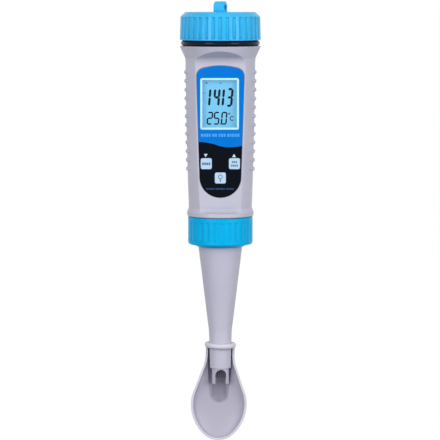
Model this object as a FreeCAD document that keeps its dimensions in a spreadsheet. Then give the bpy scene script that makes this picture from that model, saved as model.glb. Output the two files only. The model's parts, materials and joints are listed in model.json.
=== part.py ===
import FreeCAD, Part
import math
import os
import Sketcher

# Pen-shaped water quality tester, upright, display towards -Y.
# The origin is the middle of the lanyard eye, so the whole instrument hangs below it.
os.makedirs("parts", exist_ok=True)
Vector = FreeCAD.Vector
doc = FreeCAD.newDocument("WaterTester")

# Driving sizes, in millimetres and degrees
SIZES = {
    # Battery cap with its lanyard lug
    "cap_clock": 25.0,
    "eye_radius": 1.3,
    "eye_height": 2.4,
    "lug_width": 5.2,
    "lug_length": 5.5,
    "lug_rise": 2.9,
    "lug_edge": 0.6,
    "cap_crown_radius": 17.3,
    "cap_bevel": 2.15,
    "cap_radius": 19.64,
    "cap_height": 13.7,
    "cap_lip_radius": 19.92,
    "cap_lip": 0.55,
    "cap_roof": 2.4,
    "cap_core_wall": 4.7,
    "flute_count": 36,
    "flute_radius": 0.95,
    "flute_cut": 0.6,
    "flute_margin": 0.15,
    "spigot_radius": 10.93,
    "spigot_length": 6.4,
    "spigot_wall": 1.6,
    "thread_play": 0.07,
    # How far cutting tools reach past the piece, closely and widely
    "tool_over": 1.0,
    "tool_room": 60.0,
    # Battery cap seal
    "seal_gap": 3.0,
    "seal_play": 0.125,
    "seal_outer_radius": 19.5,
    # Housing
    "housing_length": 84.0,
    "flare_radius": 20.0,
    "flare_chamfer": 0.15,
    "flare_height": 5.8,
    "flare_foot_radius": 17.4,
    "flare_blend": 2.0,
    "body_top_radius": 17.21,
    "body_foot_radius": 15.65,
    "body_bow": 0.25,
    "rim_radius": 16.45,
    "rim_height": 2.1,
    "rim_slope": 2.1,
    "rim_chamfer": 0.35,
    "wall": 1.8,
    "roof": 2.2,
    "screw_ring_wall": 1.8,
    "screw_ring_length": 7.0,
    "floor": 2.5,
    "neck_radius": 13.4,
    "neck_wall": 2.4,
    "neck_length": 8.5,
    "flat_reach": 12.0,
    "cove_drop": 8.8,
    "cove_out": 2.1,
    "cove_rise": 3.66,
    "foot_cove": 2.6,
    "front_wall": 1.5,
    # Grip ridges on both sides of the housing
    "ridge_count": 12,
    "ridge_first": 12.83,
    "ridge_pitch": 4.344,
    "ridge_proud": 0.78,
    "ridge_round": 1.0,
    "ridge_sweep": 12.0,
    "ridge_arc": 70.0,
    # Front label and its recess
    "label_drop": 9.46,
    "label_foot_gap": 9.89,
    "label_top_half": 11.75,
    "label_foot_half": 10.15,
    "label_crown": 2.27,
    "label_corner": 4.0,
    "label_recess": 0.5,
    "label_thickness": 0.35,
    "label_play": 0.1,
    "recess_bevel": 0.3,
    # Display window
    "window_width": 19.0,
    "window_height": 25.3,
    "window_corner": 0.8,
    "window_drop": 18.54,
    "window_shift": -0.35,
    # Keys and their switches
    "key_side": 5.45,
    "key_corner": 0.9,
    "key_edge": 0.25,
    "key_pitch": 6.92,
    "key_rise": 16.71,
    "key_step": 7.04,
    "key_proud": 0.25,
    "key_play": 0.1,
    "key_flange_side": 6.5,
    "key_flange": 0.7,
    "key_travel": 0.4,
    "plunger_radius": 1.7,
    "plunger_reach": 1.2,
    "plunger_play": 0.06,
    "plunger_stop": 0.2,
    "switch_side": 6.0,
    "switch_gap": 0.6,
    # Display stack and circuit board
    "stack_gap": 0.1,
    "frame_width": 20.0,
    "frame_height": 29.0,
    "frame_corner": 1.0,
    "frame_side": 0.45,
    "frame_end": 0.9,
    "frame_lip": 0.4,
    "frame_view_edge": 0.8,
    "glass_gap": 0.05,
    "glass_thickness": 1.6,
    "glass_corner": 0.5,
    "strip_height": 1.6,
    "strip_width": 17.0,
    "strip_inset": 0.5,
    "board_reach": 5.5,
    "board_thickness": 1.2,
    "board_half": 11.0,
    "board_top": 5.4,
    "board_foot": 7.1,
    "board_screw_radius": 0.8,
    "board_screw_head": 1.4,
    "board_screw_head_height": 1.2,
    "board_screw_bite": 1.3,
    "board_screw_play": 0.02,
    "board_screw_x": 8.8,
    "board_screw_gap": 0.3,
    "board_screw_rise": 2.4,
    "radio_width": 7.0,
    "radio_height": 10.0,
    "radio_thickness": 1.6,
    "radio_x": 7.2,
    "radio_gap": 0.5,
    "chip_side": 6.4,
    "chip_thickness": 1.0,
    "chip_gap": 0.46,
    # Inner chassis
    "chassis_thickness": 1.5,
    "chassis_half": 12.3,
    "chassis_rail": 1.2,
    "chassis_rail_depth": 5.2,
    "chassis_boss_radius": 2.2,
    "chassis_boss_depth": 2.2,
    "ribbon_slot_half": 5.3,
    "ribbon_slot_height": 3.5,
    # Battery holder, cells and contacts
    "cell_radius": 5.8,
    "cell_height": 5.4,
    "cell_button_radius": 4.6,
    "cell_button_height": 0.7,
    "cell_count": 4,
    "holder_wall": 0.75,
    "holder_play": 0.1,
    "holder_end": 1.2,
    "holder_drop": 1.3,
    "holder_open": 2.6,
    "contact_thickness": 0.3,
    "contact_width": 5.0,
    "leaf_foot": 1.0,
    "spring_height": 2.4,
    # Probe socket, plug and pins
    "socket_flange_radius": 12.4,
    "socket_flange": 1.7,
    "socket_play": 0.1,
    "socket_reach": 3.6,
    "contact_count": 6,
    "contact_circle": 5.0,
    "contact_radius": 0.97,
    "contact_hole_play": 0.03,
    "contact_tail_radius": 0.45,
    "contact_tail": 2.0,
    "pin_radius": 0.5,
    "pin_play": 0.06,
    "pin_length": 4.0,
    "pin_end_gap": 0.6,
    "plug_gap": 0.4,
    "plug_radius": 9.0,
    "ribbon_width": 8.0,
    "ribbon_thickness": 0.2,
    "ribbon_rise": 2.0,
    # Probe body
    "probe_clock": 4.0,
    "flange_radius": 13.3,
    "flange_height": 2.45,
    "flange_seal": 1.5,
    "flange_seal_play": 0.06,
    "shank_radius": 10.9,
    "shank_foot_radius": 10.75,
    "shank_length": 4.1,
    "cone_length": 40.7,
    "cone_foot_radius": 5.75,
    "shaft_blend": 4.0,
    "shaft_radius": 5.58,
    "shaft_end_radius": 5.22,
    "shaft_length": 14.9,
    "probe_wall": 1.8,
    "shaft_bore_radius": 3.4,
    # Sensor guard, electrode holder and electrodes
    "guard_radius": 4.2,
    "guard_wall": 1.0,
    "guard_length": 8.0,
    "guard_socket": 3.4,
    "guard_play": 0.05,
    "guard_slot": 5.4,
    "guard_slot_drop": 0.7,
    "electrode_radius": 0.46,
    "electrode_pitch": 1.04,
    "electrode_reach": 5.3,
    "electrode_root": 3.0,
    "holder_disc_reach": 0.5,
    # Collar nut
    "collar_radius": 16.05,
    "collar_gap": 0.3,
    "collar_height": 13.7,
    "collar_play": 0.1,
    "collar_top_chamfer": 0.3,
    "collar_bottom_round": 1.0,
    "collar_lip": 1.2,
    "collar_lip_top_radius": 13.3,
    "collar_lip_foot_radius": 11.6,
    "collar_shank_play": 0.08,
    "rib_count": 27,
    "rib_radius": 4.0,
    "rib_root_radius": 15.6,
    "rib_margin_top": 2.3,
    "rib_margin_foot": 2.2,
    # Sampling spoon
    "spoon_lean": 1.5,
    "spoon_drop": 63.6,
    "spoon_bore_play": 0.07,
    "spoon_bead": 1.25,
    "spoon_lip_radius": 7.85,
    "spoon_neck_radius": 7.2,
    "spoon_wall": 1.12,
    "spoon_band": 2.4,
    "spoon_neck_end": 5.6,
    "spoon_swell_start": 13.9,
    "spoon_swell_start_radius": 8.95,
    "spoon_swell_end": 24.05,
    "spoon_swell_end_radius": 12.5,
    "spoon_widest": 31.2,
    "spoon_half_width": 13.98,
    "spoon_length": 49.45,
    "spoon_tip_radius": 10.65,
    "spoon_depth": 5.3,
    "spoon_groove": 33.3,
}

sheet = doc.addObject("Spreadsheet::Sheet", "Sizes")
for row, (alias, value) in enumerate(SIZES.items(), start=1):
    sheet.set(f"A{row}", alias.replace("_", " "))
    sheet.set(f"B{row}", str(value))
    sheet.setAlias(f"B{row}", alias)
doc.recompute()


class Size:
    """A number together with the sheet expression that gives it."""

    def __init__(self, value, text):
        self.value = value
        self.text = text

    def __add__(self, other):
        other = as_size(other)
        return Size(self.value + other.value, f"({self.text} + {other.text})")

    def __sub__(self, other):
        other = as_size(other)
        return Size(self.value - other.value, f"({self.text} - {other.text})")

    def __rsub__(self, other):
        return as_size(other) - self

    def __mul__(self, other):
        other = as_size(other)
        return Size(self.value * other.value, f"({self.text} * {other.text})")

    def __truediv__(self, other):
        other = as_size(other)
        return Size(self.value / other.value, f"({self.text} / {other.text})")

    def __neg__(self):
        return Size(-self.value, f"(0 - {self.text})")

    __radd__ = __add__
    __rmul__ = __mul__


def as_size(item):
    return item if isinstance(item, Size) else Size(float(item), f"({float(item)})")


def number(item):
    return item.value if isinstance(item, Size) else float(item)


def root(item):
    return Size(math.sqrt(item.value), f"sqrt({item.text})")


class Named:
    """Every driving size under its own name."""


s = Named()
for alias, value in SIZES.items():
    setattr(s, alias, Size(value, f"Sizes.{alias}"))


# Helpers that bind sizes to features

def set_size(thing, name, item):
    """Gives a property its size, bound to the sheet."""
    if isinstance(item, Size):
        thing.setExpression(name, item.text)
    else:
        setattr(thing, name, item)


def place(thing, at=(0, 0, 0), turn=(Vector(0, 0, 1), 0)):
    """Puts a piece at a point, turned by an angle about an axis."""
    axis, angle = turn
    spot = Vector(*[number(item) for item in at])
    thing.Placement = FreeCAD.Placement(spot, FreeCAD.Rotation(axis, number(angle)))
    for letter, item in zip("xyz", at):
        if isinstance(item, Size):
            thing.setExpression(f"Placement.Base.{letter}", item.text)
    if isinstance(angle, Size):
        thing.setExpression("Placement.Rotation.Angle", angle.text)
    return thing


ALONG_Y = (Vector(1, 0, 0), -90)
ABOUT_Z = Vector(0, 0, 1)


def cylinder(name, radius, height, at=(0, 0, 0), turn=(ABOUT_Z, 0)):
    piece = doc.addObject("Part::Cylinder", name)
    set_size(piece, "Radius", radius)
    set_size(piece, "Height", height)
    return place(piece, at, turn)


def torus(name, ring_radius, round_radius, at):
    piece = doc.addObject("Part::Torus", name)
    set_size(piece, "Radius1", ring_radius)
    set_size(piece, "Radius2", round_radius)
    return place(piece, at)


def block(name, low, high):
    """A box between its lowest and highest corners."""
    piece = doc.addObject("Part::Box", name)
    for side, a, b in zip(("Length", "Width", "Height"), low, high):
        set_size(piece, side, as_size(b) - as_size(a))
    return place(piece, low)


def fuse(name, shapes):
    piece = doc.addObject("Part::MultiFuse", name)
    piece.Shapes = shapes
    return piece


def cut(name, base, tools):
    piece = doc.addObject("Part::Cut", name)
    piece.Base = base
    piece.Tool = tools[0] if len(tools) == 1 else fuse(name + "_tools", tools)
    return piece


def common(name, shapes):
    piece = doc.addObject("Part::MultiCommon", name)
    piece.Shapes = shapes
    return piece


def group(name, shapes):
    """Separate solids that share one node."""
    piece = doc.addObject("Part::Compound", name)
    piece.Links = shapes
    return piece


def new_body(name):
    return doc.addObject("PartDesign::Body", name)


def new_sketch(body, name, role, offset=0):
    """A sketch on one of the body's origin planes, moved along the plane's normal."""
    plane = next(item for item in body.Origin.OriginFeatures if item.Role == role)
    sketch = body.newObject("Sketcher::SketchObject", name)
    sketch.AttachmentSupport = [(plane, "")]
    sketch.MapMode = "FlatFace"
    sketch.AttachmentOffset = FreeCAD.Placement(Vector(0, 0, number(offset)), FreeCAD.Rotation())
    if isinstance(offset, Size):
        sketch.setExpression("AttachmentOffset.Base.z", offset.text)
    return sketch


def pin_point(sketch, edge, end, point):
    """Fixes one end of an edge at a point whose coordinates come from the sheet."""
    for kind, axis, item in (("DistanceX", -2, point[0]), ("DistanceY", -1, point[1])):
        if not isinstance(item, Size) and item == 0:
            sketch.addConstraint(Sketcher.Constraint("PointOnObject", edge, end, axis))
            continue
        index = sketch.addConstraint(Sketcher.Constraint(kind, -1, 1, edge, end, number(item)))
        if isinstance(item, Size):
            sketch.setExpression(f"Constraints[{index}]", item.text)


def arc_between(start, end, radius, side):
    """The shorter arc between two points, its centre on the left or right of the way."""
    way = end - start
    left = Vector(-way.y, way.x, 0).normalize()
    reach = math.sqrt(max(radius ** 2 - (way.Length / 2) ** 2, 0))
    centre = start + way * 0.5 + left * (reach if side == "left" else -reach)
    first, last = (start, end) if side == "left" else (end, start)
    circle = Part.Circle(centre, Vector(0, 0, 1), radius)
    angles = [math.atan2(point.y - centre.y, point.x - centre.x) for point in (first, last)]
    return Part.ArcOfCircle(circle, angles[0], angles[1])


def outline(sketch, points, arcs=None):
    """A closed chain of corners; arcs gives some edges a radius and the side of its centre."""
    arcs = arcs or {}
    spots = [Vector(number(x), number(y), 0) for x, y in points]
    ends = []
    for index, start in enumerate(spots):
        end = spots[(index + 1) % len(spots)]
        if index in arcs:
            radius, side = arcs[index]
            edge = sketch.addGeometry(arc_between(start, end, number(radius), side), False)
            ends.append((edge, 1, 2) if side == "left" else (edge, 2, 1))
        else:
            edge = sketch.addGeometry(Part.LineSegment(start, end), False)
            ends.append((edge, 1, 2))
    for (edge, _, tail), (following, head, _) in zip(ends, ends[1:] + ends[:1]):
        sketch.addConstraint(Sketcher.Constraint("Coincident", edge, tail, following, head))
    for (edge, head, _), point in zip(ends, points):
        pin_point(sketch, edge, head, point)
    for index, (radius, _) in arcs.items():
        edge = ends[index][0]
        row = sketch.addConstraint(Sketcher.Constraint("Radius", edge, number(radius)))
        if isinstance(radius, Size):
            sketch.setExpression(f"Constraints[{row}]", radius.text)
    return sketch


def circle(sketch, at, radius):
    spot = Vector(number(at[0]), number(at[1]), 0)
    edge = sketch.addGeometry(Part.Circle(spot, Vector(0, 0, 1), number(radius)), False)
    pin_point(sketch, edge, 3, at)
    row = sketch.addConstraint(Sketcher.Constraint("Radius", edge, number(radius)))
    if isinstance(radius, Size):
        sketch.setExpression(f"Constraints[{row}]", radius.text)
    return sketch


def rounded_corners(middle, width, height, corner):
    """Corner points and arcs of a rounded rectangle, counter-clockwise from the lower left."""
    x, y = as_size(middle[0]), as_size(middle[1])
    right, top = as_size(width) / 2, as_size(height) / 2
    points = [
        (x - right + corner, y - top), (x + right - corner, y - top),
        (x + right, y - top + corner), (x + right, y + top - corner),
        (x + right - corner, y + top), (x - right + corner, y + top),
        (x - right, y + top - corner), (x - right, y - top + corner),
    ]
    return points, {edge: (corner, "left") for edge in (1, 3, 5, 7)}


def revolve(body, sketch, name, angle=360):
    feature = body.newObject("PartDesign::Revolution", name)
    feature.Profile = sketch
    feature.ReferenceAxis = (sketch, ["V_Axis"])
    feature.Angle = angle
    return feature


def turned(name, points, arcs=None, angle=360):
    """A body turned about the pen's axis from its half section, given as radius and height."""
    body = new_body(name)
    profile = outline(new_sketch(body, name + "_profile", "XZ_Plane"), points, arcs)
    revolve(body, profile, name + "_turned", angle)
    return body


def pad(body, sketch, name, length, symmetric=False):
    feature = body.newObject("PartDesign::Pad", name)
    feature.Profile = sketch
    set_size(feature, "Length", length)
    if symmetric:
        feature.SideType = "Symmetric"
    return feature


def pocket(body, sketch, name, length):
    feature = body.newObject("PartDesign::Pocket", name)
    feature.Profile = sketch
    set_size(feature, "Length", length)
    return feature


def round_pattern(body, feature, name, count):
    """Repeats a feature evenly round the pen's axis."""
    pattern = body.newObject("PartDesign::PolarPattern", name)
    pattern.Originals = [feature]
    axis = next(item for item in body.Origin.OriginFeatures if item.Role == "Z_Axis")
    pattern.Axis = (axis, [""])
    pattern.Angle = 360
    set_size(pattern, "Occurrences", count)
    body.Tip = pattern
    return pattern


def plate(name, middle, width, height, corner, front, thickness):
    """A rounded plate that faces the front; front is how far its face stands before the axis."""
    body = new_body(name)
    sketch = new_sketch(body, name + "_outline", "XZ_Plane", as_size(front) - thickness)
    outline(sketch, *rounded_corners(middle, width, height, corner))
    pad(body, sketch, name + "_pad", thickness)
    return body


def strip(name, points, width, arcs=None):
    """A side profile, given as y and z, padded to both sides of the middle plane."""
    body = new_body(name)
    sketch = outline(new_sketch(body, name + "_profile", "YZ_Plane"), points, arcs)
    pad(body, sketch, name + "_pad", width, symmetric=True)
    return body


# Levels along the pen, from the lanyard eye down
cap_top = -s.eye_height
cap_bottom = cap_top - s.cap_height
housing_top = cap_bottom - s.seal_gap
flare_foot = housing_top - s.flare_height
body_start = flare_foot - s.flare_blend
housing_bottom = housing_top - s.housing_length
rim_top = housing_bottom + s.rim_height
body_foot = rim_top + s.rim_slope
neck_foot = housing_bottom - s.neck_length
ring_foot = housing_top - s.screw_ring_length
floor_top = housing_bottom + s.floor
socket_top = floor_top + s.socket_flange
socket_foot = housing_bottom - s.socket_reach
label_top = housing_top - s.label_drop
label_foot = housing_bottom + s.label_foot_gap
window_middle = label_top - s.window_drop
frame_foot = window_middle - s.frame_height / 2
board_top = ring_foot - s.board_top
board_foot = housing_bottom + s.board_foot
key_level = label_foot + s.key_rise
plug_top = socket_foot - s.plug_gap
flange_top = neck_foot - s.flange_seal - s.flange_seal_play
flange_foot = flange_top - s.flange_height
shank_foot = flange_foot - s.shank_length
cone_foot = shank_foot - s.cone_length
shaft_top = cone_foot - s.shaft_blend
shaft_end = shaft_top - s.shaft_length
collar_top = housing_bottom - s.collar_gap
collar_foot = collar_top - s.collar_height
spoon_top = housing_bottom - s.spoon_drop

# Distances before the axis, towards the display side
recess_floor = s.flat_reach - s.label_recess
label_face = recess_floor + s.label_thickness
wall_back = recess_floor - s.front_wall
frame_front = wall_back - s.stack_gap
glass_front = frame_front - s.frame_lip - s.glass_gap
glass_back = glass_front - s.glass_thickness
board_back = s.board_reach - s.board_thickness
chassis_back = board_back - s.chassis_thickness

bore_radius = s.spigot_radius + s.thread_play
neck_bore_radius = s.neck_radius - s.neck_wall

KEYS = {"mode_key": (-1, 0), "hold_key": (1, 0), "power_key": (0, 1)}
RODS = ("electrode_1", "electrode_2", "temperature_probe", "electrode_3", "electrode_4")


def key_place(name):
    """Middle of a key, as x and z."""
    side, row = KEYS[name]
    return s.key_pitch * side, key_level - s.key_step * row


# Battery cap: fluted screw cap with a hollow spigot and the lug on its crown

def make_battery_cap():
    shoulder_radius = s.seal_outer_radius - seal_round() * 2 - s.seal_play
    shoulder_foot = housing_top + s.seal_play
    spigot_foot = shoulder_foot - s.spigot_length
    core_top = cap_top - s.cap_roof
    core_radius = s.cap_radius - s.cap_core_wall
    body = turned("cap_shell", [
        (0, cap_top), (s.cap_crown_radius, cap_top), (s.cap_radius, cap_top - s.cap_bevel),
        (s.cap_lip_radius, cap_bottom + s.cap_lip), (s.cap_lip_radius, cap_bottom),
        (shoulder_radius, cap_bottom), (shoulder_radius, shoulder_foot),
        (core_radius, shoulder_foot), (core_radius, core_top),
        (s.spigot_radius, core_top), (s.spigot_radius, spigot_foot),
        (s.spigot_radius - s.spigot_wall, spigot_foot), (s.spigot_radius - s.spigot_wall, core_top),
        (0, core_top),
    ])
    flute_top = cap_top - s.cap_bevel - s.flute_margin
    flute_foot = cap_bottom + s.cap_lip
    flutes = new_sketch(body, "flute_circle", "XY_Plane", flute_top)
    circle(flutes, (s.cap_radius + s.flute_radius - s.flute_cut, 0), s.flute_radius)
    flute = pocket(body, flutes, "flute", flute_top - flute_foot)
    round_pattern(body, flute, "flutes", s.flute_count)

    lug = new_body("lug")
    half = s.lug_width / 2
    spring = s.lug_rise - half
    arch = outline(new_sketch(lug, "lug_arch", "YZ_Plane"), [
        (-half, cap_top - s.cap_roof / 2), (half, cap_top - s.cap_roof / 2),
        (half, spring), (0, s.lug_rise), (-half, spring),
    ], {2: (half, "left"), 3: (half, "left")})
    circle(arch, (0, 0), s.eye_radius)
    pad(lug, arch, "lug_pad", s.lug_length, symmetric=True)
    doc.recompute()
    end = number(s.lug_length) / 2
    rims = edges_where(lug.Tip.Shape, lambda edge: is_lug_rim(edge, end))
    round_edges(lug, lug.Tip, rims, "lug_rims", s.lug_edge)
    place(lug, turn=(ABOUT_Z, -s.cap_clock))
    return fuse("battery_cap", [body, lug])


def is_lug_rim(edge, end):
    """True on the outer rim of the lug's two ends, above the cap's crown."""
    box = edge.BoundBox
    at_end = box.XLength < 0.001 and abs(abs(box.XMin) - end) < 0.001
    return at_end and not edge.Closed and box.ZLength > 0.001


def seal_round():
    return (s.seal_gap - s.seal_play * 2) / 2


def make_cap_seal():
    ring = s.seal_outer_radius - seal_round()
    return torus("cap_seal", ring, seal_round(), (0, 0, (cap_bottom + housing_top) / 2))


# Housing: flared tube with a flat front, side ridges, screw ring and threaded neck

def body_radius(drop):
    """Outer radius of the housing at a distance below its start, with the slight bow."""
    share = drop / (body_start - body_foot)
    taper = (s.body_top_radius - s.body_foot_radius) * share
    return s.body_top_radius - taper + s.body_bow * 4 * share * (1 - share)


def make_ridges():
    ridges = []
    ring_radius = s.ridge_sweep - s.ridge_round
    for side, turn in (("right", -s.ridge_arc / 2), ("left", 180 - s.ridge_arc / 2)):
        for index in range(SIZES["ridge_count"]):
            level = housing_top - s.ridge_first - s.ridge_pitch * index
            reach = body_radius(body_start - level) + s.ridge_proud - s.ridge_sweep
            ridge = torus(f"ridge_{side}_{index}", ring_radius, s.ridge_round, (0, 0, 0))
            set_size(ridge, "Angle3", s.ridge_arc)
            place(ridge, (reach if side == "right" else -reach, 0, level), (ABOUT_Z, turn))
            ridges.append(ridge)
    return ridges


def label_points(grow):
    """Label outline and arcs, grown by a margin: shallow crown, tapered sides, round foot."""
    top_half = s.label_top_half + grow
    foot_half = s.label_foot_half + grow
    shoulder = label_top - s.label_crown + grow
    crown = (top_half * top_half + s.label_crown * s.label_crown) / (s.label_crown * 2)
    foot = label_foot + s.label_foot_half
    points = [
        (0, foot - foot_half), (foot_half, foot), (top_half, shoulder),
        (0, shoulder + s.label_crown), (-top_half, shoulder), (-foot_half, foot),
    ]
    arcs = {0: (foot_half, "left"), 2: (crown, "left"), 3: (crown, "left"), 5: (foot_half, "left")}
    return points, arcs


def label_plate(name, grow, front, thickness):
    """A plate of the label's outline with its two upper corners rounded."""
    body = new_body(name)
    sketch = new_sketch(body, name + "_outline", "XZ_Plane", front - thickness)
    outline(sketch, *label_points(grow))
    base = pad(body, sketch, name + "_pad", thickness)
    doc.recompute()
    corners = edges_where(base.Shape, lambda edge: is_upper_corner(edge, grow))
    round_edges(body, base, corners, name + "_corners", s.label_corner + grow)
    return body


def is_upper_corner(edge, grow):
    middle = edge.CenterOfMass
    beside = abs(abs(middle.x) - number(s.label_top_half + grow)) < 0.01
    return beside and edge.BoundBox.ZLength < 0.01 and edge.BoundBox.YLength > 0.01


def edges_where(shape, test):
    return [f"Edge{index}" for index, edge in enumerate(shape.Edges, start=1) if test(edge)]


def round_edges(body, base, edges, name, radius):
    feature = body.newObject("PartDesign::Fillet", name)
    feature.Base = (base, edges)
    set_size(feature, "Radius", radius)
    return feature


def make_housing():
    length = body_start - body_foot
    fall = s.body_top_radius - s.body_foot_radius
    bow_radius = (length * length + fall * fall) / (s.body_bow * 8)
    outer = turned("housing_outer", [
        (0, housing_top), (s.flare_radius - s.flare_chamfer, housing_top),
        (s.flare_radius, housing_top - s.flare_chamfer), (s.flare_foot_radius, flare_foot),
        (s.body_top_radius, body_start), (s.body_foot_radius, body_foot), (s.rim_radius, rim_top),
        (s.rim_radius, housing_bottom + s.rim_chamfer), (s.rim_radius - s.rim_chamfer, housing_bottom),
        (s.neck_radius, housing_bottom), (s.neck_radius, neck_foot), (0, neck_foot),
    ], {4: (bow_radius, "right")})
    grown = fuse("housing_grown", [outer] + make_ridges())

    cove_level = housing_top - s.cove_drop
    cove_radius = bend_radius(s.cove_out, s.cove_rise)
    ramp_start = s.flat_reach + s.cove_out
    ramp_end = s.flare_radius + s.tool_over
    ramp_top = cove_level + s.cove_rise + (ramp_end - ramp_start) * (cove_radius - s.cove_out) / s.cove_rise
    foot_level = rim_top + s.foot_cove
    flat = strip("front_flat", [
        (-s.flat_reach, cove_level), (-ramp_start, cove_level + s.cove_rise), (-ramp_end, ramp_top),
        (-s.tool_room, ramp_top), (-s.tool_room, foot_level - s.foot_cove),
        (-s.flat_reach - s.foot_cove, foot_level - s.foot_cove), (-s.flat_reach, foot_level),
    ], s.flare_radius * 2, {0: (cove_radius, "left"), 5: (s.foot_cove, "left")})
    recess = label_plate("label_recess_tool", s.label_play, s.flat_reach + s.tool_over,
                         s.label_recess + s.tool_over)

    top_inner = s.body_top_radius - s.wall
    foot_inner = s.body_foot_radius - s.wall
    roof_under = housing_top - s.roof
    ring_outer = bore_radius + s.screw_ring_wall
    hollow = turned("hollow", [
        (0, ring_foot), (ring_outer, ring_foot), (ring_outer, roof_under), (top_inner, roof_under),
        (top_inner, body_start), (foot_inner, body_foot), (foot_inner, floor_top), (0, floor_top),
    ])
    behind = block("behind_front_wall", (-s.tool_room, -wall_back, neck_foot),
                   (s.tool_room, s.tool_room, housing_top))
    cap_bore = cylinder("cap_bore", bore_radius, s.screw_ring_length + s.tool_over * 2,
                        (0, 0, ring_foot - s.tool_over))
    neck_bore = cylinder("neck_bore", neck_bore_radius, floor_top - neck_foot + s.tool_over,
                         (0, 0, neck_foot - s.tool_over))
    window = plate("window_cut", (s.window_shift, window_middle),
                   s.window_width + s.label_play * 2, s.window_height + s.label_play * 2,
                   s.window_corner + s.label_play, s.flat_reach, s.flat_reach - frame_front)
    tools = [flat, recess, common("chamber", [hollow, behind]), cap_bore, neck_bore, window]
    for name in KEYS:
        side = s.key_side + s.key_play * 2
        tools.append(plate(name + "_hole", key_place(name), side, side, s.key_corner + s.key_play,
                           s.flat_reach, s.flat_reach - frame_front))
    return bevelled("housing", cut("housing_cut", grown, tools), s.recess_bevel)


def bevelled(name, base, size):
    """Bevels the edge of the label recess where it meets the flat front."""
    doc.recompute()
    front = -number(s.flat_reach)
    rows = []
    for index, edge in enumerate(base.Shape.Edges, start=1):
        box = edge.BoundBox
        on_flat = abs(box.YMin - front) < 0.001 and abs(box.YMax - front) < 0.001
        if on_flat and is_recess_edge(edge):
            rows.append((index, number(size), number(size)))
    piece = doc.addObject("Part::Chamfer", name)
    piece.Base = base
    piece.Edges = rows
    return piece


def is_recess_edge(edge):
    """True on the rim of the label recess, false on the outer limits of the flat."""
    middle = edge.valueAt((edge.FirstParameter + edge.LastParameter) / 2)
    over = number(s.label_play) * 2
    drop = number(label_top) - middle.z
    length = number(label_top - label_foot)
    slope = number(s.label_top_half - s.label_foot_half) / length
    beside = abs(middle.x) < number(s.label_top_half) + over - slope * drop + over
    return beside and -over < drop < length + over


# Label, window and keys

def make_front_label():
    base = label_plate("label_blank", 0, label_face, s.label_thickness)
    side = s.key_side + s.key_play * 2
    reach = s.label_thickness + s.tool_over * 2
    tools = [plate("label_window", (s.window_shift, window_middle),
                   s.window_width + s.label_play * 2, s.window_height + s.label_play * 2,
                   s.window_corner + s.label_play, label_face + s.tool_over, reach)]
    for name in KEYS:
        tools.append(plate(f"label_{name}", key_place(name), side, side,
                           s.key_corner + s.key_play, label_face + s.tool_over, reach))
    return cut("front_label", base, tools)


def make_display_window():
    return plate("display_window", (s.window_shift, window_middle), s.window_width,
                 s.window_height, s.window_corner, label_face, label_face - wall_back)


def make_key(name):
    """A square key: rounded cap through the wall, wider flange behind it."""
    middle = key_place(name)
    front = s.flat_reach + s.key_proud
    body = plate(name + "_cap", middle, s.key_side, s.key_side, s.key_corner,
                 front, front - frame_front + s.key_flange / 2)
    doc.recompute()
    face = -number(front)
    rim = edges_where(body.Tip.Shape, lambda edge: abs(edge.BoundBox.YMax - face) < 0.001)
    round_edges(body, body.Tip, rim, name + "_edge", s.key_edge)
    flange = plate(name + "_flange", middle, s.key_flange_side, s.key_flange_side, s.key_corner,
                   frame_front, s.key_flange)
    return fuse(name, [body, flange])


def make_plunger(name):
    x, z = key_place(name)
    back = frame_front - s.key_flange
    return cylinder(name.replace("key", "plunger"), s.plunger_radius, s.plunger_reach,
                    (x, -back, z), ALONG_Y)


def make_key_switches():
    bases = []
    back = frame_front - s.key_flange
    front = back - s.switch_gap
    well = s.plunger_reach - s.switch_gap + s.key_travel + s.plunger_stop
    for name in KEYS:
        x, z = key_place(name)
        half = s.switch_side / 2
        base = block(name + "_base", (x - half, -front, z - half),
                     (x + half, -s.board_reach, z + half))
        hole = cylinder(name + "_well", s.plunger_radius + s.plunger_play,
                        well + s.tool_over, (x, -front - s.tool_over, z), ALONG_Y)
        bases.append(cut(name + "_switch", base, [hole]))
    return group("key_switches", bases)


# Display stack

def make_lcd_frame():
    depth = frame_front - s.board_reach
    base = plate("frame_blank", (0, window_middle), s.frame_width, s.frame_height,
                 s.frame_corner, frame_front, depth)
    view = plate("frame_view", (s.window_shift, window_middle),
                 s.window_width - s.frame_view_edge * 2, s.window_height - s.frame_view_edge * 2,
                 s.window_corner, frame_front + s.tool_over, depth + s.tool_over * 2)
    nest = plate("frame_nest", (0, window_middle), glass_width() + s.glass_gap * 2,
                 glass_height() + s.glass_gap * 2, s.glass_corner,
                 frame_front - s.frame_lip, depth)
    return cut("lcd_frame", base, [view, nest])


def glass_width():
    return s.frame_width - s.frame_side * 2 - s.glass_gap * 2


def glass_height():
    return s.frame_height - s.frame_end * 2


def make_lcd_glass():
    return plate("lcd_glass", (0, window_middle), glass_width(), glass_height(), s.glass_corner,
                 glass_front, s.glass_thickness)


def make_backlight():
    height = glass_height() - (s.strip_height + s.strip_inset) * 2 - s.glass_gap * 2
    front = glass_back - s.glass_gap
    return plate("backlight", (0, window_middle), glass_width(), height, s.glass_corner,
                 front, front - s.board_reach)


def make_contact_strips():
    """The two rubber strips that join the glass to the board."""
    pieces = []
    reach = glass_height() / 2 - s.strip_inset
    for name, side in (("upper", 1), ("lower", -1)):
        middle = window_middle + (reach - s.strip_height / 2) * side
        half = s.strip_width / 2
        pieces.append(block(name + "_strip",
                            (-half, -glass_back, middle - s.strip_height / 2),
                            (half, -s.board_reach, middle + s.strip_height / 2)))
    return group("contact_strips", pieces)


# Circuit board and what it carries

def board_screw_places():
    under_frame = frame_foot - s.board_screw_gap - s.board_screw_head
    levels = (under_frame, board_foot + s.board_screw_rise)
    return [(s.board_screw_x * side, level) for level in levels for side in (-1, 1)]


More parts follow.
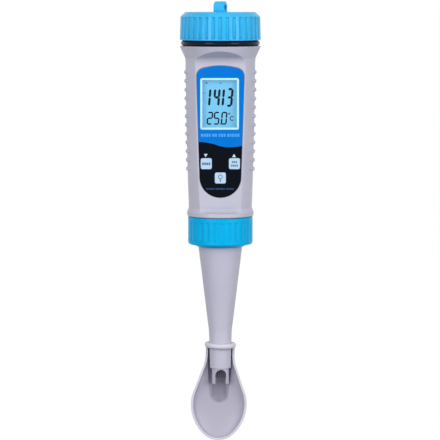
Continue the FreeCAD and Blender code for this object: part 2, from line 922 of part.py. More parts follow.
def make_main_board():
    base = block("board_blank", (-s.board_half, -s.board_reach, board_foot),
                 (s.board_half, -board_back, board_top))
    holes = [cylinder(f"board_hole_{index}", s.board_screw_radius + s.stack_gap,
                      s.board_thickness + s.tool_over * 2,
                      (x, -s.board_reach - s.tool_over, z), ALONG_Y)
             for index, (x, z) in enumerate(board_screw_places())]
    return cut("main_board", base, holes)


def make_board_screws():
    screws = []
    for index, (x, z) in enumerate(board_screw_places()):
        head = cylinder(f"screw_head_{index}", s.board_screw_head, s.board_screw_head_height,
                        (x, -s.board_reach - s.board_screw_head_height, z), ALONG_Y)
        shank_length = s.board_thickness + s.chassis_thickness + s.board_screw_bite
        shank = cylinder(f"screw_shank_{index}", s.board_screw_radius, shank_length,
                         (x, -s.board_reach, z), ALONG_Y)
        screws.append(fuse(f"screw_{index}", [head, shank]))
    return group("board_screws", screws)


def on_board(name, x, top, width, height, thickness):
    """A chip or module soldered on the front of the board."""
    return block(name, (x - width / 2, -s.board_reach - thickness, top - height),
                 (x + width / 2, -s.board_reach, top))


def make_radio_module():
    """Right of the lowest switch, under the right one."""
    top = key_level - s.switch_side / 2 - s.radio_gap
    return on_board("radio_module", s.radio_x, top, s.radio_width, s.radio_height, s.radio_thickness)


def make_controller_chip():
    """Under the lowest switch."""
    top = key_level - s.key_step - s.switch_side / 2 - s.chip_gap
    return on_board("controller_chip", as_size(0), top, s.chip_side, s.chip_side, s.chip_thickness)


# Chassis and battery holder behind the board

def make_inner_chassis():
    half = s.chassis_half
    back = -chassis_back
    sheet_part = block("chassis_sheet", (-half, -board_back, socket_top), (half, back, ring_foot))
    rails = [block(f"chassis_rail_{side}", low, high) for side, low, high in (
        ("left", (-half, back, socket_top),
         (-half + s.chassis_rail, back + s.chassis_rail_depth, ring_foot)),
        ("right", (half - s.chassis_rail, back, socket_top),
         (half, back + s.chassis_rail_depth, ring_foot)))]
    bosses = []
    holes = []
    for index, (x, z) in enumerate(board_screw_places()):
        bosses.append(cylinder(f"boss_{index}", s.chassis_boss_radius, s.chassis_boss_depth,
                               (x, back, z), ALONG_Y))
        holes.append(cylinder(f"boss_hole_{index}", s.board_screw_radius + s.board_screw_play,
                              s.chassis_thickness + s.chassis_boss_depth + s.tool_over * 2,
                              (x, -board_back - s.tool_over, z), ALONG_Y))
    slot = block("ribbon_slot", (-s.ribbon_slot_half, -board_back - s.tool_over, socket_top - s.tool_over),
                 (s.ribbon_slot_half, back + s.tool_over, socket_top + s.ribbon_slot_height))
    return cut("inner_chassis", fuse("chassis_grown", [sheet_part] + rails + bosses), holes + [slot])


def cell_axis():
    """How far the battery stack stands behind the pen's axis."""
    return -chassis_back + s.holder_play + s.holder_wall + s.holder_play + s.cell_radius


def stack_top():
    return ring_foot - s.holder_drop - s.holder_end - s.contact_thickness


def make_battery_holder():
    """A cradle open at its back, closed by a disc at each end."""
    axis = cell_axis()
    outer_radius = s.cell_radius + s.holder_play + s.holder_wall
    inner_radius = s.cell_radius + s.holder_play
    top = ring_foot - s.holder_drop
    inside = s.contact_thickness * 2 + s.cell_height * s.cell_count + s.spring_height
    foot = top - s.holder_end * 2 - inside
    shell = cylinder("holder_shell", outer_radius, top - foot, (0, axis, foot))
    nest = cylinder("holder_nest", inner_radius, inside, (0, axis, foot + s.holder_end))
    mouth = block("holder_mouth", (-outer_radius, axis + s.holder_open, foot + s.holder_end),
                  (outer_radius, axis + outer_radius, top - s.holder_end))
    return cut("battery_holder", shell, [nest, mouth])


def make_cell(index):
    """A button cell: wide can with the smaller negative face underneath."""
    top = stack_top() - s.cell_height * index
    can_foot = top - s.cell_height + s.cell_button_height
    body = turned(f"battery_cell_{index + 1}", [
        (0, top), (s.cell_radius, top), (s.cell_radius, can_foot),
        (s.cell_button_radius, can_foot), (s.cell_button_radius, top - s.cell_height),
        (0, top - s.cell_height),
    ])
    return place(body, (0, cell_axis(), 0))


def make_battery_contacts():
    """Flat contact over the stack and bent leaf spring under it."""
    axis = cell_axis()
    half = s.contact_width / 2
    top = stack_top()
    plus = block("plus_contact", (-half, axis - half, top), (half, axis + half, top + s.contact_thickness))
    stack_foot = top - s.cell_height * s.cell_count
    seat = stack_foot - s.spring_height - s.contact_thickness
    crest = stack_foot - s.contact_thickness
    leaf = strip("leaf_profile", [
        (-half, seat), (s.leaf_foot - half, seat), (0, crest - s.contact_thickness / 2),
        (half - s.leaf_foot, seat), (half, seat), (half, seat + s.contact_thickness),
        (half - s.leaf_foot, seat + s.contact_thickness), (0, crest + s.contact_thickness),
        (s.leaf_foot - half, seat + s.contact_thickness), (-half, seat + s.contact_thickness),
    ], s.contact_width)
    place(leaf, (0, axis, 0))
    return plus, leaf


# Probe socket in the housing's neck

def contact_spots():
    """Unit directions of the contacts, evenly round the axis from the front."""
    count = SIZES["contact_count"]
    angles = [2 * math.pi * index / count for index in range(count)]
    return [(math.sin(angle), -math.cos(angle)) for angle in angles]


def make_probe_socket():
    radius = neck_bore_radius - s.socket_play
    base = turned("socket_blank", [
        (0, socket_top), (s.socket_flange_radius, socket_top), (s.socket_flange_radius, floor_top),
        (radius, floor_top), (radius, socket_foot), (0, socket_foot),
    ])
    hole_radius = s.contact_radius + s.contact_hole_play
    holes = [cylinder(f"socket_hole_{index}", hole_radius, socket_top - socket_foot + s.tool_over * 2,
                      (s.contact_circle * x, s.contact_circle * y, socket_foot - s.tool_over))
             for index, (x, y) in enumerate(contact_spots())]
    flat = block("socket_flat", (-s.tool_room, -s.tool_room, floor_top),
                 (s.tool_room, -frame_front, socket_top + s.tool_over))
    return cut("probe_socket", base, holes + [flat])


def make_socket_contacts():
    """Sleeves that take the probe's pins, each with a solder tail above the socket."""
    contacts = []
    sleeve_length = socket_top - socket_foot
    well = s.pin_length - s.plug_gap + s.pin_end_gap
    for index, (x, y) in enumerate(contact_spots()):
        spot_x, spot_y = s.contact_circle * x, s.contact_circle * y
        sleeve = cylinder(f"sleeve_{index}", s.contact_radius, sleeve_length, (spot_x, spot_y, socket_foot))
        tail = cylinder(f"tail_{index}", s.contact_tail_radius, s.contact_tail + s.tool_over,
                        (spot_x, spot_y, socket_top - s.tool_over))
        hole = cylinder(f"sleeve_hole_{index}", s.pin_radius + s.pin_play, well + s.tool_over,
                        (spot_x, spot_y, socket_foot - s.tool_over))
        contacts.append(cut(f"contact_{index}", fuse(f"contact_blank_{index}", [sleeve, tail]), [hole]))
    return group("socket_contacts", contacts)


def make_sensor_ribbon():
    """Flat lead from the board's front, through the chassis slot, on to the contact tails."""
    level = socket_top + s.contact_tail
    front = s.board_reach + s.ribbon_thickness
    top = board_foot + s.ribbon_rise
    return strip("sensor_ribbon", [
        (-front, level), (s.contact_circle, level), (s.contact_circle, level + s.ribbon_thickness),
        (-s.board_reach, level + s.ribbon_thickness), (-s.board_reach, top), (-front, top),
    ], s.ribbon_width)


# Probe: flanged cone and shaft with its plug, seal, guard and electrodes

def make_probe_body():
    wall = s.probe_wall
    guard_top = shaft_end + s.guard_socket
    inner_top_radius = s.shank_foot_radius - wall
    inner_foot_radius = s.shaft_bore_radius
    return turned("probe_body", [
        (inner_top_radius, flange_top), (s.flange_radius, flange_top), (s.flange_radius, flange_foot),
        (s.shank_radius, flange_foot), (s.shank_foot_radius, shank_foot),
        (s.cone_foot_radius, cone_foot), (s.shaft_radius, shaft_top), (s.shaft_end_radius, shaft_end),
        (s.guard_radius + s.guard_play, shaft_end), (s.guard_radius + s.guard_play, guard_top),
        (inner_foot_radius, guard_top), (inner_foot_radius, cone_foot),
        (inner_top_radius, shank_foot),
    ])


def make_probe_plug():
    foot = flange_top
    return cylinder("probe_plug", s.plug_radius, plug_top - foot, (0, 0, foot))


def make_probe_pins():
    pins = [cylinder(f"pin_{index}", s.pin_radius, s.pin_length,
                     (s.contact_circle * x, s.contact_circle * y, plug_top))
            for index, (x, y) in enumerate(contact_spots())]
    return group("probe_pins", pins)


def make_probe_seal():
    ring = (s.neck_radius + neck_bore_radius) / 2
    half = s.flange_seal / 2
    return torus("probe_seal", ring, half, (0, 0, flange_top + half))


def make_sensor_guard():
    top = shaft_end + s.guard_socket
    foot = shaft_end - s.guard_length
    inner = s.guard_radius - s.guard_wall
    tube = turned("guard_tube", [
        (inner, top), (s.guard_radius, top), (s.guard_radius, foot), (inner, foot),
    ])
    half = s.guard_slot / 2
    crown = shaft_end - s.guard_slot_drop
    slot = new_body("guard_slot_tool")
    arch = outline(new_sketch(slot, "guard_arch", "XZ_Plane"), [
        (-half, foot - s.tool_over), (half, foot - s.tool_over), (half, crown - half), (0, crown),
        (-half, crown - half),
    ], {2: (half, "left"), 3: (half, "left")})
    pad(slot, arch, "guard_arch_pad", s.tool_room, symmetric=True)
    guard = cut("sensor_guard", tube, [slot])
    return place(guard, turn=(ABOUT_Z, s.probe_clock))


def electrode_x(index):
    return s.electrode_pitch * (index - (len(RODS) - 1) / 2)


def make_electrode(name, index):
    """A round rod with a domed end, one of the row seen in the guard's arch."""
    radius = s.electrode_radius
    foot = shaft_end - s.electrode_reach
    top = shaft_end + s.electrode_root
    body = turned(name, [
        (0, top), (radius, top), (radius, foot + radius), (0, foot),
    ], {2: (radius, "right")})
    turn = math.radians(SIZES["probe_clock"])
    x = electrode_x(index)
    return place(body, (x * math.cos(turn), x * math.sin(turn), 0))


def make_electrode_holder():
    """The disc inside the guard that the electrodes stand in."""
    top = shaft_end + s.guard_socket
    foot = shaft_end - s.holder_disc_reach
    disc = cylinder("holder_disc", s.guard_radius - s.guard_wall - s.guard_play, top - foot, (0, 0, foot))
    rod_top = shaft_end + s.electrode_root
    holes = [cylinder(f"rod_hole_{index}", s.electrode_radius + s.guard_play / 2,
                      rod_top - foot + s.tool_over, (electrode_x(index), 0, foot - s.tool_over))
             for index in range(len(RODS))]
    holder = cut("electrode_holder", disc, holes)
    return place(holder, turn=(ABOUT_Z, s.probe_clock))


# Collar nut: scalloped ring that holds the probe's flange against the neck

def make_collar_nut():
    bore = s.neck_radius + s.collar_play
    ledge = flange_foot - s.collar_play
    hole = s.shank_radius + s.collar_shank_play
    rib_top = collar_top - s.rib_margin_top
    rib_foot = collar_foot + s.rib_margin_foot
    round_edge = s.collar_bottom_round
    body = turned("collar_blank", [
        (bore, collar_top), (s.collar_radius - s.collar_top_chamfer, collar_top),
        (s.collar_radius, collar_top - s.collar_top_chamfer), (s.collar_radius, rib_top),
        (s.rib_root_radius, rib_top), (s.rib_root_radius, rib_foot), (s.collar_radius, rib_foot),
        (s.collar_radius, collar_foot + round_edge), (s.collar_radius - round_edge, collar_foot),
        (s.collar_lip_top_radius, collar_foot), (s.collar_lip_foot_radius, collar_foot - s.collar_lip),
        (hole, collar_foot - s.collar_lip), (hole, ledge), (bore, ledge),
    ], {7: (round_edge, "right")})
    ribs = new_sketch(body, "rib_circle", "XY_Plane", rib_foot)
    circle(ribs, (s.collar_radius - s.rib_radius, 0), s.rib_radius)
    rib = pad(body, ribs, "rib", rib_top - rib_foot)
    round_pattern(body, rib, "ribs", s.rib_count)
    bore_tool = cylinder("collar_bore", bore, collar_top - ledge + s.tool_over, (0, 0, ledge))
    return cut("collar_nut", body, [bore_tool])


# Sampling spoon: ring and half-open neck whose channel runs out in a shallow bowl

def spoon_profile(inset):
    """Half outline of the spoon as radius and height, moved inwards by the wall."""
    neck = s.spoon_neck_radius - inset
    start = s.spoon_swell_start_radius - inset
    end = s.spoon_swell_end_radius - inset
    wide = s.spoon_half_width - inset
    tip = s.spoon_tip_radius - inset
    length = s.spoon_length - inset
    bend_drop = s.spoon_swell_start - s.spoon_neck_end
    bend = bend_radius(start - neck, bend_drop)
    shoulder = bend_radius(wide - end, s.spoon_widest - s.spoon_swell_end)
    rise = length - tip - s.spoon_widest
    side = (wide * wide + rise * rise - tip * tip) / ((wide - tip) * 2)
    touch_radius = tip * (side - wide) / (side - tip)
    touch_drop = length - tip + tip * rise / (side - tip)
    points = [
        (0, spoon_top), (neck, spoon_top), (neck, spoon_top - s.spoon_neck_end),
        (start, spoon_top - s.spoon_swell_start), (end, spoon_top - s.spoon_swell_end),
        (wide, spoon_top - s.spoon_widest), (touch_radius, spoon_top - touch_drop),
        (0, spoon_top - length),
    ]
    arcs = {2: (bend, "left"), 4: (shoulder, "right"), 5: (side, "right"), 6: (tip, "right")}
    return points, arcs


def bend_radius(step, drop):
    """Radius of an arc that leaves the vertical and gives way by a step over a drop."""
    return (step * step + drop * drop) / (step * 2)


def spoon_channel(name, radius, top):
    """The neck's round channel, which ends in a half ball inside the bowl."""
    centre = spoon_top - s.spoon_groove + s.spoon_neck_radius - s.spoon_wall
    return turned(name, [(0, top), (radius, top), (radius, centre), (0, centre - radius)],
                  {2: (radius, "right")})


def make_spoon():
    neck_inner = s.spoon_neck_radius - s.spoon_wall
    bore = s.shaft_radius + s.spoon_bore_play
    ring_foot_level = spoon_top - s.spoon_band

    outer = doc.addObject("Part::Scale", "spoon_outer_bowl")
    outer.Base = turned("spoon_outer_full", *spoon_profile(0))
    outer.Uniform = False
    set_size(outer, "YScale", s.spoon_depth / s.spoon_half_width)
    inner = doc.addObject("Part::Scale", "spoon_inner_bowl")
    inner.Base = turned("spoon_inner_full", *spoon_profile(s.spoon_wall))
    inner.Uniform = False
    set_size(inner, "YScale", (s.spoon_depth - s.spoon_wall) / (s.spoon_half_width - s.spoon_wall))

    neck = spoon_channel("spoon_neck", s.spoon_neck_radius, spoon_top)
    back_half = block("spoon_back_half", (-s.tool_room, 0, ring_foot_level - s.tool_room),
                      (s.tool_room, s.tool_room, ring_foot_level))
    back = common("spoon_back", [fuse("spoon_solid", [outer, neck]), back_half])
    neck_hollow = spoon_channel("spoon_neck_hollow", neck_inner, ring_foot_level)
    below_ring = block("spoon_below_ring", (-s.tool_room, -s.tool_room, ring_foot_level - s.tool_room),
                       (s.tool_room, s.tool_room, ring_foot_level))
    inside = common("spoon_inside", [fuse("spoon_inside_full", [inner, neck_hollow]), below_ring])
    scoop = cut("spoon_scoop", back, [inside])

    ring = turned("spoon_ring", [
        (bore, spoon_top), (s.spoon_lip_radius - s.spoon_bead, spoon_top),
        (s.spoon_lip_radius, spoon_top - s.spoon_bead),
        (s.spoon_neck_radius, spoon_top - s.spoon_bead - ring_drop()),
        (s.spoon_neck_radius, ring_foot_level), (bore, ring_foot_level),
    ], {1: (s.spoon_bead, "right"), 2: (s.spoon_bead, "right")})
    spoon = fuse("spoon", [scoop, ring])
    return lean_about_ring(spoon)


def ring_drop():
    """How far below its middle the bead meets the neck."""
    step = s.spoon_neck_radius - s.spoon_lip_radius + s.spoon_bead
    return root(s.spoon_bead * s.spoon_bead - step * step)


def lean_about_ring(piece):
    """Leans the spoon a little to one side about the middle of its ring."""
    turn = math.radians(SIZES["spoon_lean"])
    pivot = spoon_top - s.spoon_band / 2
    at = (pivot * -math.sin(turn), 0, pivot * (1 - math.cos(turn)))
    return place(piece, at, (Vector(0, 1, 0), s.spoon_lean))


def build_all():
    plus_contact, leaf_spring = make_battery_contacts()
    pieces = {
        "battery_cap": make_battery_cap(),
        "cap_seal": make_cap_seal(),
        "housing": make_housing(),
        "front_label": make_front_label(),
        "display_window": make_display_window(),
        "key_switches": make_key_switches(),
        "lcd_frame": make_lcd_frame(),
        "lcd_glass": make_lcd_glass(),
        "backlight": make_backlight(),
        "contact_strips": make_contact_strips(),
        "main_board": make_main_board(),
        "board_screws": make_board_screws(),
        "radio_module": make_radio_module(),
        "controller_chip": make_controller_chip(),
        "inner_chassis": make_inner_chassis(),
        "battery_holder": make_battery_holder(),
        "plus_contact": plus_contact,
        "leaf_spring": leaf_spring,
        "probe_socket": make_probe_socket(),
        "socket_contacts": make_socket_contacts(),
        "sensor_ribbon": make_sensor_ribbon(),
        "collar_nut": make_collar_nut(),
        "probe_seal": make_probe_seal(),
        "probe_body": make_probe_body(),
        "probe_plug": make_probe_plug(),
        "probe_pins": make_probe_pins(),
        "sensor_guard": make_sensor_guard(),
        "electrode_holder": make_electrode_holder(),
        "spoon": make_spoon(),
    }
    for name in KEYS:
        pieces[name] = make_key(name)
        pieces[name.replace("key", "plunger")] = make_plunger(name)
    for index in range(SIZES["cell_count"]):
        pieces[f"battery_cell_{index + 1}"] = make_cell(index)
    for index, name in enumerate(RODS):
        pieces[name] = make_electrode(name, index)
    return pieces


def check_and_write(pieces):
    """Stops at any failed object, then writes one file for each sub-part."""
    failed = [item.Name for item in doc.Objects if {"Invalid", "Error"} & set(item.State)]
    if failed:
        raise RuntimeError(f"failed objects: {failed}")
    for name, piece in pieces.items():
        if piece.Shape.isNull() or not piece.Shape.isValid():
            raise RuntimeError(f"bad shape: {name}")
    for name, piece in pieces.items():
        piece.Label = name
        piece.Shape.exportStep(f"parts/{name}.step")


sub_parts = build_all()
doc.recompute()
check_and_write(sub_parts)
print(f"{len(sub_parts)} sub-parts written")
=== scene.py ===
# Looks of a pen-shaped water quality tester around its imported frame, in metres
import json
import math

import bpy
from mathutils import Matrix, Vector

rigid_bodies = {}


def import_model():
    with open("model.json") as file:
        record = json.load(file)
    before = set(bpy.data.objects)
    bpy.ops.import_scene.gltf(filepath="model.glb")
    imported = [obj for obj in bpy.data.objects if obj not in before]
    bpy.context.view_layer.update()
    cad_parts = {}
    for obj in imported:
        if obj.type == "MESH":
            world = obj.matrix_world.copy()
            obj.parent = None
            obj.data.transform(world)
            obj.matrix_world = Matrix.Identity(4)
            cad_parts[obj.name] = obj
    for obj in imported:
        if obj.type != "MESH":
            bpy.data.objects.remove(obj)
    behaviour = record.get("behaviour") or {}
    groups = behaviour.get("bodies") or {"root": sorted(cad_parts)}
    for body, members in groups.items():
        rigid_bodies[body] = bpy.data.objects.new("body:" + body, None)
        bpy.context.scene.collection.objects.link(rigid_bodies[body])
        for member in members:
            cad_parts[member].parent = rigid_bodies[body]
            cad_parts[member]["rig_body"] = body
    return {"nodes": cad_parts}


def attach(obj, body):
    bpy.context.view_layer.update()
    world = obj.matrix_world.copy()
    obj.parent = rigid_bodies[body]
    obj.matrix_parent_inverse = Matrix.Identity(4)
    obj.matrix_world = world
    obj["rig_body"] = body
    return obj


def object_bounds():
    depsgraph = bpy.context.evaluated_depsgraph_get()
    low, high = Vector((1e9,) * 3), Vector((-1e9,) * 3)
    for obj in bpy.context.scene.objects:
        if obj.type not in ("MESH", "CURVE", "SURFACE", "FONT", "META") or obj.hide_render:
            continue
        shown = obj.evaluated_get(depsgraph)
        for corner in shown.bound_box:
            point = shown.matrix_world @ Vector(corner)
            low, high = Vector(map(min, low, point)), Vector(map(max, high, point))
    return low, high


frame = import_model()
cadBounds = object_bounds()
mm = 0.001
tinyStep = 1e-7
print("frame loaded:", len(frame["nodes"]), "nodes")


# What all finishes share: the span of a noise field, the edges' wear and painted highlight, the
# threads' profile

noiseSpan = (0.3, 0.7)
wearSheenAndGrain = {
    "samples": 6, "flat": 0.995, "sharp": 0.82, "patchSpan": (0.35, 0.65), "leastWearAndSheen": 0.4,
    "grainsInPatch": 12, "grainsInSmear": 30, "patchDetail": 2, "smearDetail": 4, "grainDetail": 3,
}
hollowSamples = 8
threadProfile = {"root": 0.12, "crest": 0.36}
coatRoughness = 0.1


# Small helpers for nodes and paint

def paint(red, green, blue):
    linear = []
    for value in (red, green, blue):
        value /= 255
        linear.append(value / 12.92 if value <= 0.04045 else ((value + 0.055) / 1.055) ** 2.4)
    return (*linear, 1.0)


def addNode(tree, kind, settings=None, inputs=None):
    item = tree.nodes.new(kind)
    for key, value in (settings or {}).items():
        setattr(item, key, value)
    for key, value in (inputs or {}).items():
        item.inputs[key].default_value = value
    return item


def newMaterial(name):
    material = bpy.data.materials.new(name)
    material.use_nodes = True
    tree = material.node_tree
    return material, tree, tree.nodes["Principled BSDF"]


def newFinish(name):
    # A new material with its own coordinates, which stay with the piece
    material, tree, shader = newMaterial(name)
    return material, tree, shader, addNode(tree, "ShaderNodeTexCoord").outputs["Object"]


def noiseField(tree, source, scale, detail, stretch=None):
    if stretch:
        mapping = addNode(tree, "ShaderNodeMapping", inputs={"Scale": stretch})
        tree.links.new(source, mapping.inputs["Vector"])
        source = mapping.outputs["Vector"]
    field = addNode(tree, "ShaderNodeTexNoise", inputs={"Scale": scale, "Detail": detail})
    tree.links.new(source, field.inputs["Vector"])
    return field.outputs["Fac"]


def mapRange(tree, source, fromLow, fromHigh, toLow, toHigh):
    item = addNode(tree, "ShaderNodeMapRange", {"clamp": True}, {
        "From Min": fromLow, "From Max": fromHigh, "To Min": toLow, "To Max": toHigh})
    tree.links.new(source, item.inputs["Value"])
    return item.outputs["Result"]


def spread(tree, field, low=0.0, high=1.0):
    return mapRange(tree, field, *noiseSpan, low, high)


def mathNode(tree, operation, first, second=0):
    item = addNode(tree, "ShaderNodeMath", {"operation": operation})
    for socket, value in zip(item.inputs, (first, second)):
        if isinstance(value, (int, float)):
            socket.default_value = value
        else:
            tree.links.new(value, socket)
    return item.outputs["Value"]


def mixPaint(tree, factor, first, second):
    item = addNode(tree, "ShaderNodeMix", {"data_type": "RGBA"})
    tree.links.new(factor, item.inputs["Factor"])
    for socket, value in zip((item.inputs[6], item.inputs[7]), (first, second)):
        if isinstance(value, tuple):
            socket.default_value = value
        else:
            tree.links.new(value, socket)
    return item.outputs[2]


def cloudTone(tree, field, look):
    return mixPaint(tree, spread(tree, field), look["paint"], look["shade"])


def finishSurface(tree, shader, place, tone, look):
    # Rounded edges, painted a little lighter, partly as rubbed wear and partly as painted highlight,
    # with a fine moulded grain
    softEdge = addNode(tree, "ShaderNodeBevel", {"samples": wearSheenAndGrain["samples"]},
                       {"Radius": look["edge"] * mm})
    surface = addNode(tree, "ShaderNodeNewGeometry")
    facing = addNode(tree, "ShaderNodeVectorMath", {"operation": "DOT_PRODUCT"})
    tree.links.new(softEdge.outputs["Normal"], facing.inputs[0])
    tree.links.new(surface.outputs["Normal"], facing.inputs[1])
    # Edge paint: rounded edges are painted lighter, partly as rubbed wear and partly as painted
    # highlight where they would catch the light
    wornAndSheenEdge = mapRange(tree, facing.outputs["Value"], wearSheenAndGrain["flat"], wearSheenAndGrain["sharp"], 0.0, look["wearAndSheen"])
    patches = noiseField(tree, place, look["grain"] / wearSheenAndGrain["grainsInPatch"], wearSheenAndGrain["patchDetail"])
    patches = mapRange(tree, patches, *wearSheenAndGrain["patchSpan"], wearSheenAndGrain["leastWearAndSheen"], 1.0)
    wornAndSheenEdge = mathNode(tree, "MULTIPLY", wornAndSheenEdge, patches)
    tone = mixPaint(tree, wornAndSheenEdge, tone, look["wearAndSheenPaint"])
    # Painted shade: the piece's own hollows and grooves are darkened in colour
    if "hollow" in look:
        tone = hollowTone(tree, tone, look["hollow"])
    tree.links.new(tone, shader.inputs["Base Color"])

    smear = noiseField(tree, place, look["grain"] / wearSheenAndGrain["grainsInSmear"], wearSheenAndGrain["smearDetail"])
    tree.links.new(spread(tree, smear, *look["roughness"]), shader.inputs["Roughness"])

    grain = noiseField(tree, place, look["grain"], wearSheenAndGrain["grainDetail"])
    bump = addNode(tree, "ShaderNodeBump", inputs={
        "Strength": look["grainStrength"], "Distance": look["grainDepth"] * mm})
    tree.links.new(grain, bump.inputs["Height"])
    tree.links.new(softEdge.outputs["Normal"], bump.inputs["Normal"])
    relief = bump.outputs["Normal"]
    for thread in look.get("threads", ()):
        relief = threadRelief(tree, place, relief, thread)
    tree.links.new(relief, shader.inputs["Normal"])


def hollowTone(tree, tone, hollow):
    # Painted shade: a piece's own grooves and hollows are darkened in colour by an occlusion node,
    # where the shade of those hollows falls
    cover = addNode(tree, "ShaderNodeAmbientOcclusion",
                    {"samples": hollowSamples, "only_local": True},
                    {"Distance": hollow["reach"] * mm})
    shadeAmount = mapRange(tree, cover.outputs["AO"], hollow["open"], hollow["closed"],
                    0.0, hollow["depth"])
    return mixPaint(tree, shadeAmount, tone, hollow["paint"])


def depthShadeTone(tree, place, tone, depthShade):
    # Painted shade: a darker tone for what lies further back than a given depth, as if shade fell
    # deeper in a hollow
    split = addNode(tree, "ShaderNodeSeparateXYZ")
    tree.links.new(place, split.inputs["Vector"])
    start, end = depthShade["between"]
    return mixPaint(tree, mapRange(tree, split.outputs["Y"], start * mm, end * mm, 0.0, 1.0),
                    tone, depthShade["paint"])


def threadRelief(tree, place, relief, thread):
    # Round screw threads between two heights, on surfaces at the thread's radius
    split = addNode(tree, "ShaderNodeSeparateXYZ")
    tree.links.new(place, split.inputs["Vector"])
    x, y, z = (split.outputs[letter] for letter in "XYZ")
    around = mathNode(tree, "DIVIDE", mathNode(tree, "ARCTAN2", y, x), math.tau)
    along = mathNode(tree, "SUBTRACT", mathNode(tree, "DIVIDE", z, thread["pitch"] * mm), around)
    wave = mathNode(tree, "PINGPONG", along, 0.5)
    ridge = addNode(tree, "ShaderNodeMapRange", {"interpolation_type": "SMOOTHSTEP"}, {
        "From Min": threadProfile["root"], "From Max": threadProfile["crest"],
        "To Min": 0.0, "To Max": 1.0})
    tree.links.new(wave, ridge.inputs["Value"])
    squares = [mathNode(tree, "MULTIPLY", reach, reach) for reach in (x, y)]
    radius = mathNode(tree, "SQRT", mathNode(tree, "ADD", *squares))
    height = ridge.outputs["Result"]
    for reading, (low, high) in ((z, thread["between"]), (radius, thread["radii"])):
        above = mathNode(tree, "GREATER_THAN", reading, low * mm)
        below = mathNode(tree, "LESS_THAN", reading, high * mm)
        within = mathNode(tree, "MULTIPLY", above, below)
        height = mathNode(tree, "MULTIPLY", height, within)
    bump = addNode(tree, "ShaderNodeBump", inputs={
        "Strength": 1.0, "Distance": thread["depth"] * mm})
    tree.links.new(height, bump.inputs["Height"])
    tree.links.new(relief, bump.inputs["Normal"])
    return bump.outputs["Normal"]


def mouldedPlastic(name, look):
    material, tree, shader, place = newFinish(name)
    tone = cloudTone(tree, noiseField(tree, place, look["cloud"], 3), look)
    # Painted shade: darker paint for the surfaces further back, set per look
    for depthShade in look.get("depthShades", ()):
        tone = depthShadeTone(tree, place, tone, depthShade)
    finishSurface(tree, shader, place, tone, look)
    shader.inputs["Specular IOR Level"].default_value = look["specular"]
    shader.inputs["Coat Weight"].default_value = look.get("coat", 0.0)
    shader.inputs["Coat Roughness"].default_value = coatRoughness
    return material


def metalFinish(name, look):
    material, tree, shader, place = newFinish(name)
    streaks = noiseField(tree, place, look["streak"], 4, look["stretch"])
    finishSurface(tree, shader, place, cloudTone(tree, streaks, look), look)
    shader.inputs["Metallic"].default_value = 1.0
    return material
